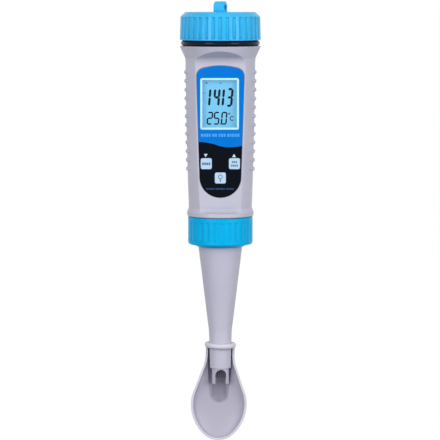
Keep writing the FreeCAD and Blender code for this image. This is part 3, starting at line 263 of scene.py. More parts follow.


# Finishes of the moulded, rubber, metal and electronic pieces; their hollow settings paint shade into
# grooves and hollows

surfaceLooks = {
    "capBlue": {
        "paint": paint(48, 188, 243), "shade": paint(40, 182, 239), "cloud": 120,
        # The pale edge paint gives the flutes' crests a painted highlight, with some rubbed wear
        "edge": 0.22, "wearAndSheenPaint": paint(150, 228, 255), "wearAndSheen": 0.8,
        "roughness": (0.24, 0.34), "grain": 4200, "grainStrength": 0.12, "grainDepth": 0.02,
        "specular": 0.22,
        "hollow": {"reach": 2.0, "open": 0.95, "closed": 0.45, "depth": 0.9,
                   "paint": paint(2, 148, 206)},
        "threads": [{"between": (-25.0, -19.6), "radii": (10.7, 11.2), "pitch": 2.5, "depth": 0.7}],
    },
    "collarBlue": {
        "paint": paint(0, 178, 234), "shade": paint(0, 172, 229), "cloud": 120,
        "edge": 0.25, "wearAndSheenPaint": paint(70, 206, 250), "wearAndSheen": 0.4,
        "roughness": (0.26, 0.36), "grain": 4200, "grainStrength": 0.12, "grainDepth": 0.02,
        "specular": 0.08,
        "hollow": {"reach": 2.0, "open": 0.97, "closed": 0.6, "depth": 0.9,
                   "paint": paint(0, 138, 194)},
        "threads": [{"between": (-111.0, -104.2), "radii": (13.3, 13.7), "pitch": 3.0, "depth": 0.7}],
    },
    "housingGrey": {
        "paint": paint(192, 192, 208), "shade": paint(187, 187, 204), "cloud": 60,
        "edge": 0.35, "wearAndSheenPaint": paint(226, 227, 240), "wearAndSheen": 0.6,
        "roughness": (0.42, 0.52), "grain": 3600, "grainStrength": 0.2, "grainDepth": 0.02,
        "specular": 0.3,
        "hollow": {"reach": 5.0, "open": 0.9, "closed": 0.45, "depth": 0.8,
                   "paint": paint(70, 77, 98)},
        "threads": [{"between": (-110.9, -104.0), "radii": (13.3, 13.6), "pitch": 3.0, "depth": 0.7},
                    {"between": (-25.6, -20.0), "radii": (10.8, 11.1), "pitch": 2.5, "depth": 0.7}],
    },
    "probeGrey": {
        "paint": paint(191, 190, 207), "shade": paint(186, 185, 203), "cloud": 60,
        "edge": 0.25, "wearAndSheenPaint": paint(222, 222, 236), "wearAndSheen": 0.5,
        "roughness": (0.40, 0.50), "grain": 3600, "grainStrength": 0.18, "grainDepth": 0.02,
        "specular": 0.3,
        "hollow": {"reach": 3.0, "open": 0.9, "closed": 0.3, "depth": 0.5,
                   "paint": paint(90, 88, 102)},
    },
    "spoonGrey": {
        "paint": paint(210, 208, 220), "shade": paint(206, 204, 217), "cloud": 60,
        # Painted shade: the bowl behind the rim plane and the deeper channel get darker paint, which
        # leaves the rim painted lighter
        "depthShades": [{"between": (0.05, 0.6), "paint": paint(176, 173, 190)},
                   {"between": (4.3, 5.2), "paint": paint(138, 135, 152)}],
        "edge": 0.3, "wearAndSheenPaint": paint(228, 227, 238), "wearAndSheen": 0.6,
        "roughness": (0.36, 0.46), "grain": 3000, "grainStrength": 0.15, "grainDepth": 0.02,
        "specular": 0.3,
        "hollow": {"reach": 7.0, "open": 0.85, "closed": 0.35, "depth": 0.95,
                   "paint": paint(66, 64, 78)},
    },
    "sealRubber": {
        "paint": paint(6, 20, 36), "shade": paint(10, 26, 44), "cloud": 200,
        "edge": 0.1, "wearAndSheenPaint": paint(30, 42, 58), "wearAndSheen": 0.2,
        "roughness": (0.12, 0.20), "grain": 5000, "grainStrength": 0.1, "grainDepth": 0.01,
        "specular": 0.13,
    },
    "keyPale": {
        "paint": paint(186, 212, 234), "shade": paint(176, 204, 230), "cloud": 300,
        "edge": 0.2, "wearAndSheenPaint": paint(226, 238, 248), "wearAndSheen": 0.5,
        "roughness": (0.38, 0.50), "grain": 6000, "grainStrength": 0.15, "grainDepth": 0.015,
        "specular": 0.45,
    },
    "innerBlack": {
        "paint": paint(28, 29, 33), "shade": paint(36, 37, 42), "cloud": 200,
        "edge": 0.15, "wearAndSheenPaint": paint(70, 72, 80), "wearAndSheen": 0.4,
        "roughness": (0.40, 0.55), "grain": 4000, "grainStrength": 0.2, "grainDepth": 0.02,
        "specular": 0.4,
    },
    "socketDark": {
        "paint": paint(48, 49, 55), "shade": paint(56, 57, 64), "cloud": 160,
        "edge": 0.15, "wearAndSheenPaint": paint(92, 94, 104), "wearAndSheen": 0.4,
        "roughness": (0.38, 0.52), "grain": 4000, "grainStrength": 0.2, "grainDepth": 0.02,
        "specular": 0.4,
    },
    "chassisWhite": {
        "paint": paint(222, 223, 226), "shade": paint(212, 213, 218), "cloud": 80,
        "edge": 0.2, "wearAndSheenPaint": paint(240, 240, 243), "wearAndSheen": 0.4,
        "roughness": (0.42, 0.55), "grain": 3600, "grainStrength": 0.2, "grainDepth": 0.02,
        "specular": 0.4,
    },
    "lightGuide": {
        "paint": paint(236, 240, 246), "shade": paint(224, 232, 242), "cloud": 120,
        "edge": 0.1, "wearAndSheenPaint": paint(248, 250, 252), "wearAndSheen": 0.2,
        "roughness": (0.22, 0.32), "grain": 5000, "grainStrength": 0.1, "grainDepth": 0.01,
        "specular": 0.5,
    },
    "stripRubber": {
        "paint": paint(120, 122, 128), "shade": paint(66, 68, 74), "cloud": 1400,
        "edge": 0.1, "wearAndSheenPaint": paint(140, 142, 150), "wearAndSheen": 0.2,
        "roughness": (0.55, 0.7), "grain": 5000, "grainStrength": 0.2, "grainDepth": 0.02,
        "specular": 0.3,
    },
    "ribbonAmber": {
        "paint": paint(196, 130, 44), "shade": paint(178, 112, 34), "cloud": 260,
        "edge": 0.05, "wearAndSheenPaint": paint(220, 168, 90), "wearAndSheen": 0.3,
        "roughness": (0.28, 0.40), "grain": 4200, "grainStrength": 0.1, "grainDepth": 0.01,
        "specular": 0.5, "coat": 0.3,
    },
    "electrodeDark": {
        "paint": paint(100, 98, 112), "shade": paint(76, 75, 88), "cloud": 500,
        "edge": 0.08, "wearAndSheenPaint": paint(130, 128, 142), "wearAndSheen": 0.4,
        "roughness": (0.24, 0.38), "grain": 5200, "grainStrength": 0.15, "grainDepth": 0.01,
        "specular": 0.5,
    },
}
metalLooks = {
    "steel": {
        "paint": paint(206, 208, 212), "shade": paint(176, 178, 184), "streak": 90,
        "stretch": (6.0, 6.0, 60.0), "edge": 0.12, "wearAndSheenPaint": paint(236, 238, 240), "wearAndSheen": 0.3,
        "roughness": (0.22, 0.36), "grain": 3000, "grainStrength": 0.1, "grainDepth": 0.01,
    },
    "contactBrass": {
        "paint": paint(222, 190, 116), "shade": paint(196, 160, 84), "streak": 120,
        "stretch": (8.0, 8.0, 40.0), "edge": 0.06, "wearAndSheenPaint": paint(242, 222, 160), "wearAndSheen": 0.3,
        "roughness": (0.20, 0.32), "grain": 3400, "grainStrength": 0.1, "grainDepth": 0.01,
    },
}
finishes = {name: mouldedPlastic(name, look) for name, look in surfaceLooks.items()}
finishes.update({name: metalFinish(name, look) for name, look in metalLooks.items()})


# Circuit board: green lacquer with traces and plated dots

boardLook = {
    "paint": paint(20, 84, 48), "trace": paint(44, 122, 66), "plate": paint(214, 188, 110),
    "traceScale": 420, "traceWidth": 0.05, "dotScale": 520, "dotSize": 0.16, "dotRim": 0.03,
    "lacquerRoughness": 0.36, "plateRoughness": 0.22, "reliefStrength": 0.3, "reliefDepth": 0.03,
}


def circuitBoard(name, look):
    material, tree, shader, place = newFinish(name)
    traces = addNode(tree, "ShaderNodeTexBrick", inputs={
        "Scale": look["traceScale"], "Mortar Size": look["traceWidth"], "Color1": look["paint"],
        "Color2": look["paint"], "Mortar": look["trace"]})
    turned = addNode(tree, "ShaderNodeMapping", inputs={"Rotation": (math.radians(90), 0, 0)})
    tree.links.new(place, turned.inputs["Vector"])
    tree.links.new(turned.outputs["Vector"], traces.inputs["Vector"])
    dots = addNode(tree, "ShaderNodeTexVoronoi", inputs={"Scale": look["dotScale"]})
    tree.links.new(place, dots.inputs["Vector"])
    rim = look["dotSize"] + look["dotRim"]
    plated = mapRange(tree, dots.outputs["Distance"], look["dotSize"], rim, 1.0, 0.0)
    tone = mixPaint(tree, plated, traces.outputs["Color"], look["plate"])
    tree.links.new(tone, shader.inputs["Base Color"])
    roughness = mapRange(tree, plated, 0, 1, look["lacquerRoughness"], look["plateRoughness"])
    tree.links.new(roughness, shader.inputs["Roughness"])
    bump = addNode(tree, "ShaderNodeBump", inputs={
        "Strength": look["reliefStrength"], "Distance": look["reliefDepth"] * mm})
    tree.links.new(traces.outputs["Fac"], bump.inputs["Height"])
    tree.links.new(bump.outputs["Normal"], shader.inputs["Normal"])
    return material


finishes["boardGreen"] = circuitBoard("boardGreen", boardLook)


# Printed front label: blue above, black below, parted by a shallow wave

labelLook = {
    "paint": paint(2, 120, 216), "shade": paint(1, 114, 210), "black": paint(3, 8, 18),
    "reach": 12.0, "waveLow": -70.0, "waveHigh": -64.0, "softness": 0.12,
    "wave": [(-12.0, -65.75), (-7.7, -65.95), (-3.3, -66.80), (-0.4, -67.75), (3.1, -68.30),
             (7.5, -68.15), (12.0, -67.35)],
    "cloud": 90, "edge": 0.12, "wearAndSheenPaint": paint(60, 160, 232), "wearAndSheen": 0.35,
    "roughness": (0.30, 0.38), "grain": 5200, "grainStrength": 0.1, "grainDepth": 0.01,
    "specular": 0.06,
}


def labelPrint(name, look):
    material, tree, shader, place = newFinish(name)
    split = addNode(tree, "ShaderNodeSeparateXYZ")
    tree.links.new(place, split.inputs["Vector"])
    across = mapRange(tree, split.outputs["X"], -look["reach"] * mm, look["reach"] * mm, 0.0, 1.0)
    low, high = look["waveLow"], look["waveHigh"]
    level = mapRange(tree, split.outputs["Z"], low * mm, high * mm, 0.0, 1.0)
    wave = addNode(tree, "ShaderNodeFloatCurve")
    curve = wave.mapping.curves[0]
    spots = [((x / look["reach"] + 1) / 2, (z - low) / (high - low)) for x, z in look["wave"]]
    curve.points[0].location = spots[0]
    curve.points[-1].location = spots[-1]
    for spot in spots[1:-1]:
        curve.points.new(*spot)
    wave.mapping.update()
    tree.links.new(across, wave.inputs["Value"])
    above = mathNode(tree, "SUBTRACT", level, wave.outputs["Value"])
    half = look["softness"] / 2 / (high - low)
    above = mapRange(tree, above, -half, half, 0.0, 1.0)
    blue = cloudTone(tree, noiseField(tree, place, look["cloud"], 3), look)
    tone = mixPaint(tree, above, look["black"], blue)
    finishSurface(tree, shader, place, tone, look)
    shader.inputs["Specular IOR Level"].default_value = look["specular"]
    return material


finishes["labelPrint"] = labelPrint("labelPrint", labelLook)


# Display: clear lens before a pale blue liquid crystal pane that glows a little

paneLook = {
    "paint": paint(104, 177, 212), "shade": paint(96, 170, 206), "cloud": 150,
    "edge": 0.05, "wearAndSheenPaint": paint(150, 206, 232), "wearAndSheen": 0.1,
    "roughness": (0.18, 0.26), "grain": 6000, "grainStrength": 0.05, "grainDepth": 0.01,
    "glow": 0.42,
}
lensLook = {
    "paint": (0.10, 0.24, 0.36, 1.0), "alpha": 0.03, "roughness": (0.04, 0.10), "smear": 70,
}


def displayPane(name, look):
    material, tree, shader, place = newFinish(name)
    tone = cloudTone(tree, noiseField(tree, place, look["cloud"], 2), look)
    finishSurface(tree, shader, place, tone, look)
    shader.inputs["Emission Color"].default_value = look["paint"]
    shader.inputs["Emission Strength"].default_value = look["glow"]
    return material


def clearLens(name, look):
    material, tree, shader, place = newFinish(name)
    smear = noiseField(tree, place, look["smear"], 3)
    tree.links.new(spread(tree, smear, *look["roughness"]), shader.inputs["Roughness"])
    shader.inputs["Base Color"].default_value = look["paint"]
    shader.inputs["Alpha"].default_value = look["alpha"]
    return material


finishes["displayPane"] = displayPane("displayPane", paneLook)
finishes["clearLens"] = clearLens("clearLens", lensLook)

finishOfNode = {
    "battery_cap": "capBlue", "collar_nut": "collarBlue", "housing": "housingGrey",
    "probe_body": "probeGrey", "sensor_guard": "probeGrey", "spoon": "spoonGrey",
    "cap_seal": "sealRubber", "probe_seal": "sealRubber", "front_label": "labelPrint",
    "display_window": "clearLens", "lcd_glass": "displayPane", "mode_key": "keyPale",
    "hold_key": "keyPale", "power_key": "keyPale", "mode_plunger": "innerBlack",
    "hold_plunger": "innerBlack", "power_plunger": "innerBlack", "key_switches": "innerBlack",
    "lcd_frame": "innerBlack", "battery_holder": "innerBlack", "radio_module": "steel",
    "controller_chip": "innerBlack", "electrode_holder": "innerBlack", "backlight": "lightGuide",
    "contact_strips": "stripRubber", "main_board": "boardGreen", "board_screws": "steel",
    "leaf_spring": "steel", "plus_contact": "steel", "battery_cell_1": "steel",
    "battery_cell_2": "steel", "battery_cell_3": "steel", "battery_cell_4": "steel",
    "inner_chassis": "chassisWhite", "probe_socket": "socketDark", "probe_plug": "socketDark",
    "socket_contacts": "contactBrass", "probe_pins": "contactBrass",
    "sensor_ribbon": "ribbonAmber", "electrode_1": "electrodeDark",
    "electrode_2": "electrodeDark", "electrode_3": "electrodeDark",
    "electrode_4": "electrodeDark", "temperature_probe": "electrodeDark",
}
for nodeName, node in frame["nodes"].items():
    finish = finishes[finishOfNode[nodeName]]
    if not node.material_slots:
        node.data.materials.append(finish)
    for slot in node.material_slots:
        slot.material = finish
bodyOfNode = {node.name: node["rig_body"] for node in frame["nodes"].values()}
print("finishes on", len(finishOfNode), "nodes")


# Modelling helpers

def deselectAll():
    bpy.ops.object.select_all(action="DESELECT")


def startBox(name, middle, size):
    deselectAll()
    bpy.ops.mesh.primitive_cube_add(size=1, location=[value * mm for value in middle],
                                    scale=[value * mm for value in size])
    piece = bpy.context.object
    piece.name = name
    bpy.ops.object.transform_apply(location=True, rotation=True, scale=True)
    return piece


def selectFaces(piece, test):
    # In edit mode, picks the faces whose middle and normal pass the test
    bpy.ops.mesh.select_all(action="DESELECT")
    bpy.ops.object.mode_set(mode="OBJECT")
    for face in piece.data.polygons:
        face.select = test(face.center, face.normal)
    bpy.ops.object.mode_set(mode="EDIT")


def selectEdges(piece, test):
    # In edit mode, picks the edges whose two ends pass the test
    bpy.ops.mesh.select_all(action="DESELECT")
    bpy.ops.mesh.select_mode(type="EDGE")
    bpy.ops.object.mode_set(mode="OBJECT")
    points = piece.data.vertices
    for edge in piece.data.edges:
        edge.select = test(points[edge.vertices[0]].co, points[edge.vertices[1]].co)
    bpy.ops.object.mode_set(mode="EDIT")


def editPiece(piece):
    deselectAll()
    piece.select_set(True)
    bpy.context.view_layer.objects.active = piece
    bpy.ops.object.mode_set(mode="EDIT")
    bpy.ops.mesh.select_mode(type="FACE")


def leaveEdit():
    bpy.ops.object.mode_set(mode="OBJECT")


def joinPieces(name, pieces):
    deselectAll()
    for piece in pieces:
        piece.select_set(True)
    bpy.context.view_layer.objects.active = pieces[0]
    if len(pieces) > 1:
        bpy.ops.object.join()
    joined = bpy.context.object
    joined.name = name
    joined.data.name = name
    return joined


def copyPiece(source, matrix):
    copy = source.copy()
    copy.data = source.data.copy()
    copy.data.transform(matrix)
    bpy.context.scene.collection.objects.link(copy)
    return copy


def setFinish(piece, finish, body):
    piece.data.materials.clear()
    piece.data.materials.append(finish)
    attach(piece, body)


def roundCorners(piece, corner, segments):
    # Rounds the edges that run from the front to the back
    editPiece(piece)
    selectEdges(piece, lambda a, b: abs(a.y - b.y) > tinyStep)
    bpy.ops.mesh.bevel(offset=corner * mm, segments=segments, affect="EDGES")
    leaveEdit()


def roundedBar(name, middle, size, corner):
    # A flat bar with rounded corners that lies on a face turned to the front
    bar = startBox(name, middle, size)
    roundCorners(bar, corner, 4)
    return bar


# Window border, a pale printed frame round the lens, and the inks of all prints

borderSize = {
    "middleX": -0.35, "middleZ": -47.1, "width": 18.96, "height": 25.26, "band": 1.0,
    "corner": 0.8, "face": 11.87, "thickness": 0.06,
}
inkBase = {
    "cloud": 400, "edge": 0.02, "wearAndSheen": 0.2, "roughness": (0.34, 0.44), "grain": 6000,
    "grainStrength": 0.05, "grainDepth": 0.01, "specular": 0.35,
}
inkLooks = {
    "borderInk": {
        "paint": paint(188, 236, 255), "shade": paint(182, 232, 255), "cloud": 200,
        "edge": 0.05, "wearAndSheenPaint": paint(214, 242, 255), "wearAndSheen": 0.4,
        "roughness": (0.30, 0.40), "specular": 0.4,
    },
    "readoutInk": {
        "paint": paint(4, 12, 26), "shade": paint(8, 18, 34), "wearAndSheenPaint": paint(24, 44, 66),
        "roughness": (0.30, 0.40), "specular": 0.06,
    },
    "faintInk": {
        "paint": paint(70, 132, 168), "shade": paint(62, 122, 158),
        "wearAndSheenPaint": paint(90, 150, 186), "roughness": (0.30, 0.40), "specular": 0.3,
    },
    "paleInk": {
        "paint": paint(74, 164, 228), "shade": paint(66, 158, 224),
        "wearAndSheenPaint": paint(100, 182, 236),
    },
    "signInk": {
        "paint": paint(196, 226, 244), "shade": paint(188, 220, 240),
        "wearAndSheenPaint": paint(222, 240, 250),
    },
    "dimInk": {
        "paint": paint(20, 66, 104), "shade": paint(17, 60, 96), "wearAndSheenPaint": paint(34, 84, 126),
    },
    "keyInk": {
        "paint": paint(60, 112, 160), "shade": paint(52, 104, 152),
        "wearAndSheenPaint": paint(80, 130, 176), "roughness": (0.40, 0.50),
    },
}
inks = {name: mouldedPlastic(name, {**inkBase, **look}) for name, look in inkLooks.items()}


def makeWindowBorder(size):
    middleY = -size["face"] - size["thickness"] / 2
    border = roundedBar("window_border", (size["middleX"], middleY, size["middleZ"]),
                        (size["width"], size["thickness"], size["height"]), size["corner"])
    editPiece(border)
    selectFaces(border, lambda centre, normal: abs(normal.y) > 0.9)
    bpy.ops.mesh.inset(thickness=size["band"] * mm, use_boundary=True, use_individual=True)
    bpy.ops.mesh.bridge_edge_loops()
    leaveEdit()
    setFinish(border, inks["borderInk"], "meter_body")


makeWindowBorder(borderSize)
print("window border made")


# Readout: slanted seven-bar figures on the pane's face

segmentPlaces = {
    "a": (0.0, 1.0, True), "b": (0.5, 0.5, False), "c": (0.5, -0.5, False), "d": (0.0, -1.0, True),
    "e": (-0.5, -0.5, False), "f": (-0.5, 0.5, False), "g": (0.0, 0.0, True),
}
segmentsOfFigure = {
    "0": "abcdef", "1": "bc", "2": "abged", "3": "abgcd", "4": "fgbc", "5": "afgcd",
}
readings = {
    "reading_large": {
        "figures": [("1", -5.2), ("4", -0.7), ("1", 1.45), ("3", 5.65)],
        "middleZ": -44.06, "height": 9.3, "width": 2.15, "stroke": 1.16, "gap": 0.14,
    },
    "reading_small": {
        "figures": [("2", -4.05), ("5", -0.75), ("0", 2.95)],
        "middleZ": -54.27, "height": 6.4, "width": 2.2, "stroke": 0.74, "gap": 0.1,
    },
}
readoutSize = {"face": 9.45, "thickness": 0.03, "slant": 0.083, "tip": 0.5, "tipWidth": 0.2}


def makeSegment(length, stroke, thickness):
    # A bar along Z whose two ends run to blunt points
    tip = stroke * readoutSize["tip"]
    bar = startBox("segment", (0, 0, 0), (stroke, thickness, length - tip * 2))
    for side in (1, -1):
        editPiece(bar)
        selectFaces(bar, lambda centre, normal: normal.z * side > 0.9)
        bpy.ops.mesh.extrude_region_move(TRANSFORM_OT_translate={"value": (0, 0, tip * side * mm)})
        bpy.ops.transform.resize(value=(readoutSize["tipWidth"], 1, 1), center_override=(0, 0, 0))
        leaveEdit()
    return bar


def makeReading(name, size):
    halfHeight = (size["height"] - size["stroke"]) / 2
    upright = makeSegment(halfHeight - size["gap"], size["stroke"], readoutSize["thickness"])
    level = makeSegment(size["width"] - size["gap"], size["stroke"], readoutSize["thickness"])
    bars = []
    for figure, right in size["figures"]:
        for letter in segmentsOfFigure[figure]:
            across, up, isLevel = segmentPlaces[letter]
            x = right + (across - 0.5) * size["width"]
            z = up * halfHeight
            turn = Matrix.Rotation(math.radians(90), 4, "Y") if isLevel else Matrix.Identity(4)
            place = Matrix.Translation((x * mm, 0, z * mm))
            bars.append(copyPiece(level if isLevel else upright, place @ turn))
    bpy.data.objects.remove(upright)
    bpy.data.objects.remove(level)
    reading = joinPieces(name, bars)
    slant = Matrix.Identity(4)
    slant[0][2] = readoutSize["slant"]
    middleY = -readoutSize["face"] - readoutSize["thickness"] / 2
    lift = Matrix.Translation((0, middleY * mm, size["middleZ"] * mm))
    reading.data.transform(lift @ slant)
    setFinish(reading, inks["readoutInk"], "meter_body")


for readingName, readingSize in readings.items():
    makeReading(readingName, readingSize)
print("readings made")


# Small signs of the readout: point, degree ring, unit hook and three faint marks

smallSigns = {
    "point": {"x": 0.18, "z": -57.15, "size": 0.55},
    "ring": {"x": 4.35, "z": -52.05, "radius": 0.42, "stroke": 0.26},
    "unit": {"x": 5.72, "z": -54.35, "radius": 0.95, "stroke": 0.42, "gapDegrees": 100},
    "faint": [(-6.75, -37.05, 0.95, 0.8), (0.05, -37.05, 1.2, 0.45), (-8.05, -41.9, 1.3, 0.3)],
}


ringSweep = {"steps": 28, "sectionDepth": 0.001, "flatten": 0.00001, "close": 0.000002}


def makeRing(name, x, z, radius, stroke, y, thickness, startDegrees=0, spanDegrees=360):
    # A flat ring, or a part of one, swept about its middle from a section without depth
    section = startBox(name, (x, y, z), (stroke, thickness, ringSweep["sectionDepth"]))
    section.data.transform(Matrix.Translation((radius * mm, 0, 0)))
    editPiece(section)
    bpy.ops.mesh.select_all(action="SELECT")
    centre = (x * mm, y * mm, z * mm)
    bpy.ops.mesh.delete(type="ONLY_FACE")
    leaveEdit()
    editPiece(section)
    bpy.ops.mesh.select_all(action="SELECT")
    bpy.ops.mesh.remove_doubles(threshold=ringSweep["flatten"])
    bpy.ops.mesh.spin(steps=ringSweep["steps"], angle=math.radians(spanDegrees),
                      center=centre, axis=(0, 1, 0))
    bpy.ops.mesh.select_all(action="SELECT")
    bpy.ops.mesh.remove_doubles(threshold=ringSweep["close"])
    if spanDegrees < 360:
        bpy.ops.mesh.select_mode(type="EDGE")
        bpy.ops.mesh.select_all(action="DESELECT")
        bpy.ops.mesh.select_non_manifold()
        bpy.ops.mesh.edge_face_add()
        bpy.ops.mesh.select_all(action="SELECT")
    bpy.ops.mesh.normals_make_consistent(inside=False)
    leaveEdit()
    turn = Matrix.Rotation(math.radians(-startDegrees), 4, "Y")
    home = Matrix.Translation(centre)
    section.data.transform(home @ turn @ home.inverted())
    return section


def makeSmallSigns(signs):
    y = -readoutSize["face"] - readoutSize["thickness"] / 2
    thickness = readoutSize["thickness"]
    point = signs["point"]
    dark = [roundedBar("point", (point["x"], y, point["z"]),
                       (point["size"], thickness, point["size"]), point["size"] / 5)]
    ring = signs["ring"]
    dark.append(makeRing("ring", ring["x"], ring["z"], ring["radius"], ring["stroke"], y, thickness))
    unit = signs["unit"]
    dark.append(makeRing("unit", unit["x"], unit["z"], unit["radius"], unit["stroke"], y, thickness,
                         unit["gapDegrees"] / 2, 360 - unit["gapDegrees"]))
    setFinish(joinPieces("reading_signs", dark), inks["readoutInk"], "meter_body")
    faint = [roundedBar("faint", (x, y, z), (width, thickness, height), height / 4)
             for x, z, width, height in signs["faint"]]
    setFinish(joinPieces("reading_marks", faint), inks["faintInk"], "meter_body")


makeSmallSigns(smallSigns)
print("small signs made")


# Prints on the label: two rows of plain dashes and the two arrow heads

labelPrints = {
    "face": 11.85, "thickness": 0.03, "corner": 0.12,
    "upperRow": {"left": -9.5, "right": 9.3, "z": -62.5, "height": 1.5, "gap": 0.3, "space": 0.8,
                 "words": ((1.0, 0.9, 1.0, 0.8), (1.0, 0.9), (0.8, 1.0, 0.9),
                           (1.0, 0.7, 1.0, 0.9, 1.0))},
    "lowerRow": {"left": -6.9, "right": 6.6, "z": -88.9, "height": 0.8, "gap": 0.25, "space": 0.6,
                 "words": ((0.9, 0.7, 0.8, 0.9), (0.7, 0.8, 0.7, 0.8, 0.7), (0.9, 0.7, 0.8, 0.7))},
    "arrowDown": {"x": -7.2, "z": -72.2, "radius": 1.05, "turn": 180},
    "arrowUp": {"x": 6.72, "z": -72.75, "radius": 1.08, "turn": 0},
}


def makeDashRow(name, row, ink):
    # Plain blocks in the rhythm of words, spread between the row's two ends
    y = -labelPrints["face"] - labelPrints["thickness"] / 2
    widths = [width for word in row["words"] for width in word]
    gaps = len(widths) - len(row["words"])
    empty = gaps * row["gap"] + (len(row["words"]) - 1) * row["space"]
    share = (row["right"] - row["left"] - empty) / sum(widths)
    blocks = []
    edge = row["left"]
    for word in row["words"]:
        for width in word:
            width *= share
            blocks.append(roundedBar("block", (edge + width / 2, y, row["z"]),
                                     (width, labelPrints["thickness"], row["height"]),
                                     labelPrints["corner"]))
            edge += width + row["gap"]
        edge += row["space"] - row["gap"]
    setFinish(joinPieces(name, blocks), ink, "meter_body")


def makeArrow(name, arrow):
    y = -labelPrints["face"] - labelPrints["thickness"] / 2
    deselectAll()
    bpy.ops.mesh.primitive_cylinder_add(vertices=3, radius=arrow["radius"] * mm,
                                        depth=labelPrints["thickness"] * mm,
                                        rotation=(math.radians(90), 0, 0))
    piece = bpy.context.object
    bpy.ops.object.transform_apply(location=True, rotation=True, scale=True)
    roundCorners(piece, labelPrints["corner"], 3)
    highest = max(point.co.z for point in piece.data.vertices)
    lowest = min(point.co.z for point in piece.data.vertices)
    pointsUp = highest > -lowest
    turn = math.radians(arrow["turn"] + (0 if pointsUp else 180))
    piece.data.transform(Matrix.Translation((arrow["x"] * mm, y * mm, arrow["z"] * mm))
                         @ Matrix.Rotation(turn, 4, "Y"))
    piece.name = name
    setFinish(piece, inks["signInk"], "meter_body")


makeDashRow("label_dashes_upper", labelPrints["upperRow"], inks["paleInk"])
makeDashRow("label_dashes_lower", labelPrints["lowerRow"], inks["dimInk"])
makeArrow("arrow_down", labelPrints["arrowDown"])
makeArrow("arrow_up", labelPrints["arrowUp"])
print("label prints made")


# Signs on the keys

keySigns = {
    "face": 12.25, "thickness": 0.03, "corner": 0.14, "stemCorner": 0.12,
    "mode": {"x": -6.92, "z": -76.5, "rows": ((0.0, 4),), "width": 0.82, "height": 1.25,
             "pitch": 1.06},
    "hold": {"x": 6.92, "z": -76.5, "rows": ((0.88, 3), (-0.92, 4)), "width": 0.64, "height": 0.95,
             "pitch": 0.88},
    "light": {"x": 0.0, "z": -82.95, "radius": 0.92, "stroke": 0.34, "stemZ": -84.65, "stem": 1.55,
              "stemWidth": 0.46},
}


def makeBlockSign(name, node, sign):
    y = -keySigns["face"] - keySigns["thickness"] / 2
    blocks = []
    for up, count in sign["rows"]:
        for index in range(count):
            x = sign["x"] + (index - (count - 1) / 2) * sign["pitch"]
            blocks.append(roundedBar("block", (x, y, sign["z"] + up),
                                     (sign["width"], keySigns["thickness"], sign["height"]),
                                     keySigns["corner"]))
    setFinish(joinPieces(name, blocks), inks["keyInk"], bodyOfNode[node])


def makeLightSign(name, node, sign):
    y = -keySigns["face"] - keySigns["thickness"] / 2
    ring = makeRing("ring", sign["x"], sign["z"], sign["radius"], sign["stroke"], y,
                    keySigns["thickness"])
    stem = roundedBar("stem", (sign["x"], y, sign["stemZ"]),
                      (sign["stemWidth"], keySigns["thickness"], sign["stem"]),
                      keySigns["stemCorner"])
    setFinish(joinPieces(name, [ring, stem]), inks["keyInk"], bodyOfNode[node])


makeBlockSign("mode_sign", "mode_key", keySigns["mode"])
makeBlockSign("hold_sign", "hold_key", keySigns["hold"])
makeLightSign("light_sign", "power_key", keySigns["light"])
print("key signs made")


# Plain studio: pale floor, soft lamps, the photograph's viewing angle

studio = {
    "floorGap": 0.5, "floorHalf": 30.0, "floorPaint": (0.35, 0.35, 0.36, 1.0), "floorWhite": 0.88,
    "floorGlow": 1.12, "world": 0.42,
    "lens": 198.2, "sensor": 36.0, "eye": (-0.00017, -1.1984, 0.00741), "pitch": 5.3756,
    "lamps": {
        "left_lamp": {"at": (-1.0, -1.5, 0.45), "width": 0.8, "height": 1.3, "power": 18.0},
        "right_lamp": {"at": (1.25, -1.3, 0.45), "width": 0.8, "height": 1.3, "power": 19.0},
    },
    "aim": (0.0, 0.0, -0.10),
}


def seenRays(tree):
    path = addNode(tree, "ShaderNodeLightPath")
    seen = mathNode(tree, "MAXIMUM", path.outputs["Is Camera Ray"], path.outputs["Is Glossy Ray"])
    return mathNode(tree, "MAXIMUM", seen, path.outputs["Is Transmission Ray"])


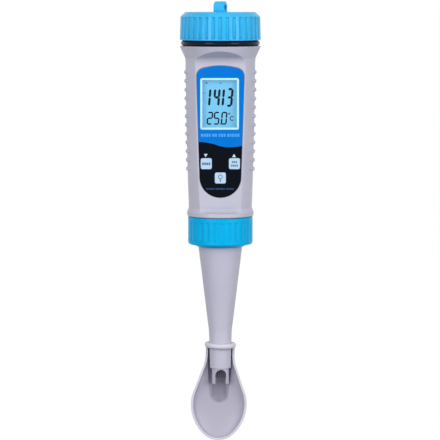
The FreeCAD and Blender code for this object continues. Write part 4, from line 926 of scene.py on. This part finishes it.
def makeStage(size):
    low = cadBounds[0][2]
    deselectAll()
    bpy.ops.mesh.primitive_plane_add(size=size["floorHalf"] * 2,
                                     location=(0, 0, low - size["floorGap"] * mm))
    floor = bpy.context.object
    floor.name = "floor"
    material, tree, shader = newMaterial("paleFloor")
    tree.nodes.remove(shader)
    matte = addNode(tree, "ShaderNodeBsdfDiffuse", inputs={"Color": size["floorPaint"]})
    white = addNode(tree, "ShaderNodeEmission", inputs={"Strength": size["floorGlow"]})
    blend = addNode(tree, "ShaderNodeMixShader")
    tree.links.new(mathNode(tree, "MULTIPLY", seenRays(tree), size["floorWhite"]), blend.inputs[0])
    tree.links.new(matte.outputs[0], blend.inputs[1])
    tree.links.new(white.outputs[0], blend.inputs[2])
    tree.links.new(blend.outputs[0], tree.nodes["Material Output"].inputs["Surface"])
    floor.data.materials.append(material)

    world = bpy.data.worlds.new("studioWorld")
    bpy.context.scene.world = world
    world.use_nodes = True
    tree = world.node_tree
    back = tree.nodes["Background"]
    back.inputs["Color"].default_value = (1.0, 1.0, 1.0, 1.0)
    tree.links.new(mapRange(tree, seenRays(tree), 0, 1, size["world"], 1.0), back.inputs["Strength"])


def makeLamps(size):
    for name, lamp in size["lamps"].items():
        data = bpy.data.lights.new(name, "AREA")
        data.energy = lamp["power"]
        data.shape = "RECTANGLE"
        data.size = lamp["width"]
        data.size_y = lamp["height"]
        item = bpy.data.objects.new(name, data)
        item.location = lamp["at"]
        way = Vector(size["aim"]) - item.location
        item.rotation_euler = way.to_track_quat("-Z", "Y").to_euler()
        bpy.context.scene.collection.objects.link(item)


def makeCamera(size):
    data = bpy.data.cameras.new("camera")
    data.sensor_width = size["sensor"]
    data.lens = size["lens"]
    data.clip_start = 0.01
    item = bpy.data.objects.new("camera", data)
    item.location = size["eye"]
    item.rotation_euler = (math.radians(90 - size["pitch"]), 0, 0)
    bpy.context.scene.collection.objects.link(item)
    bpy.context.scene.camera = item


makeStage(studio)
makeLamps(studio)
makeCamera(studio)
bpy.context.scene.view_settings.view_transform = "Standard"
print("studio ready")
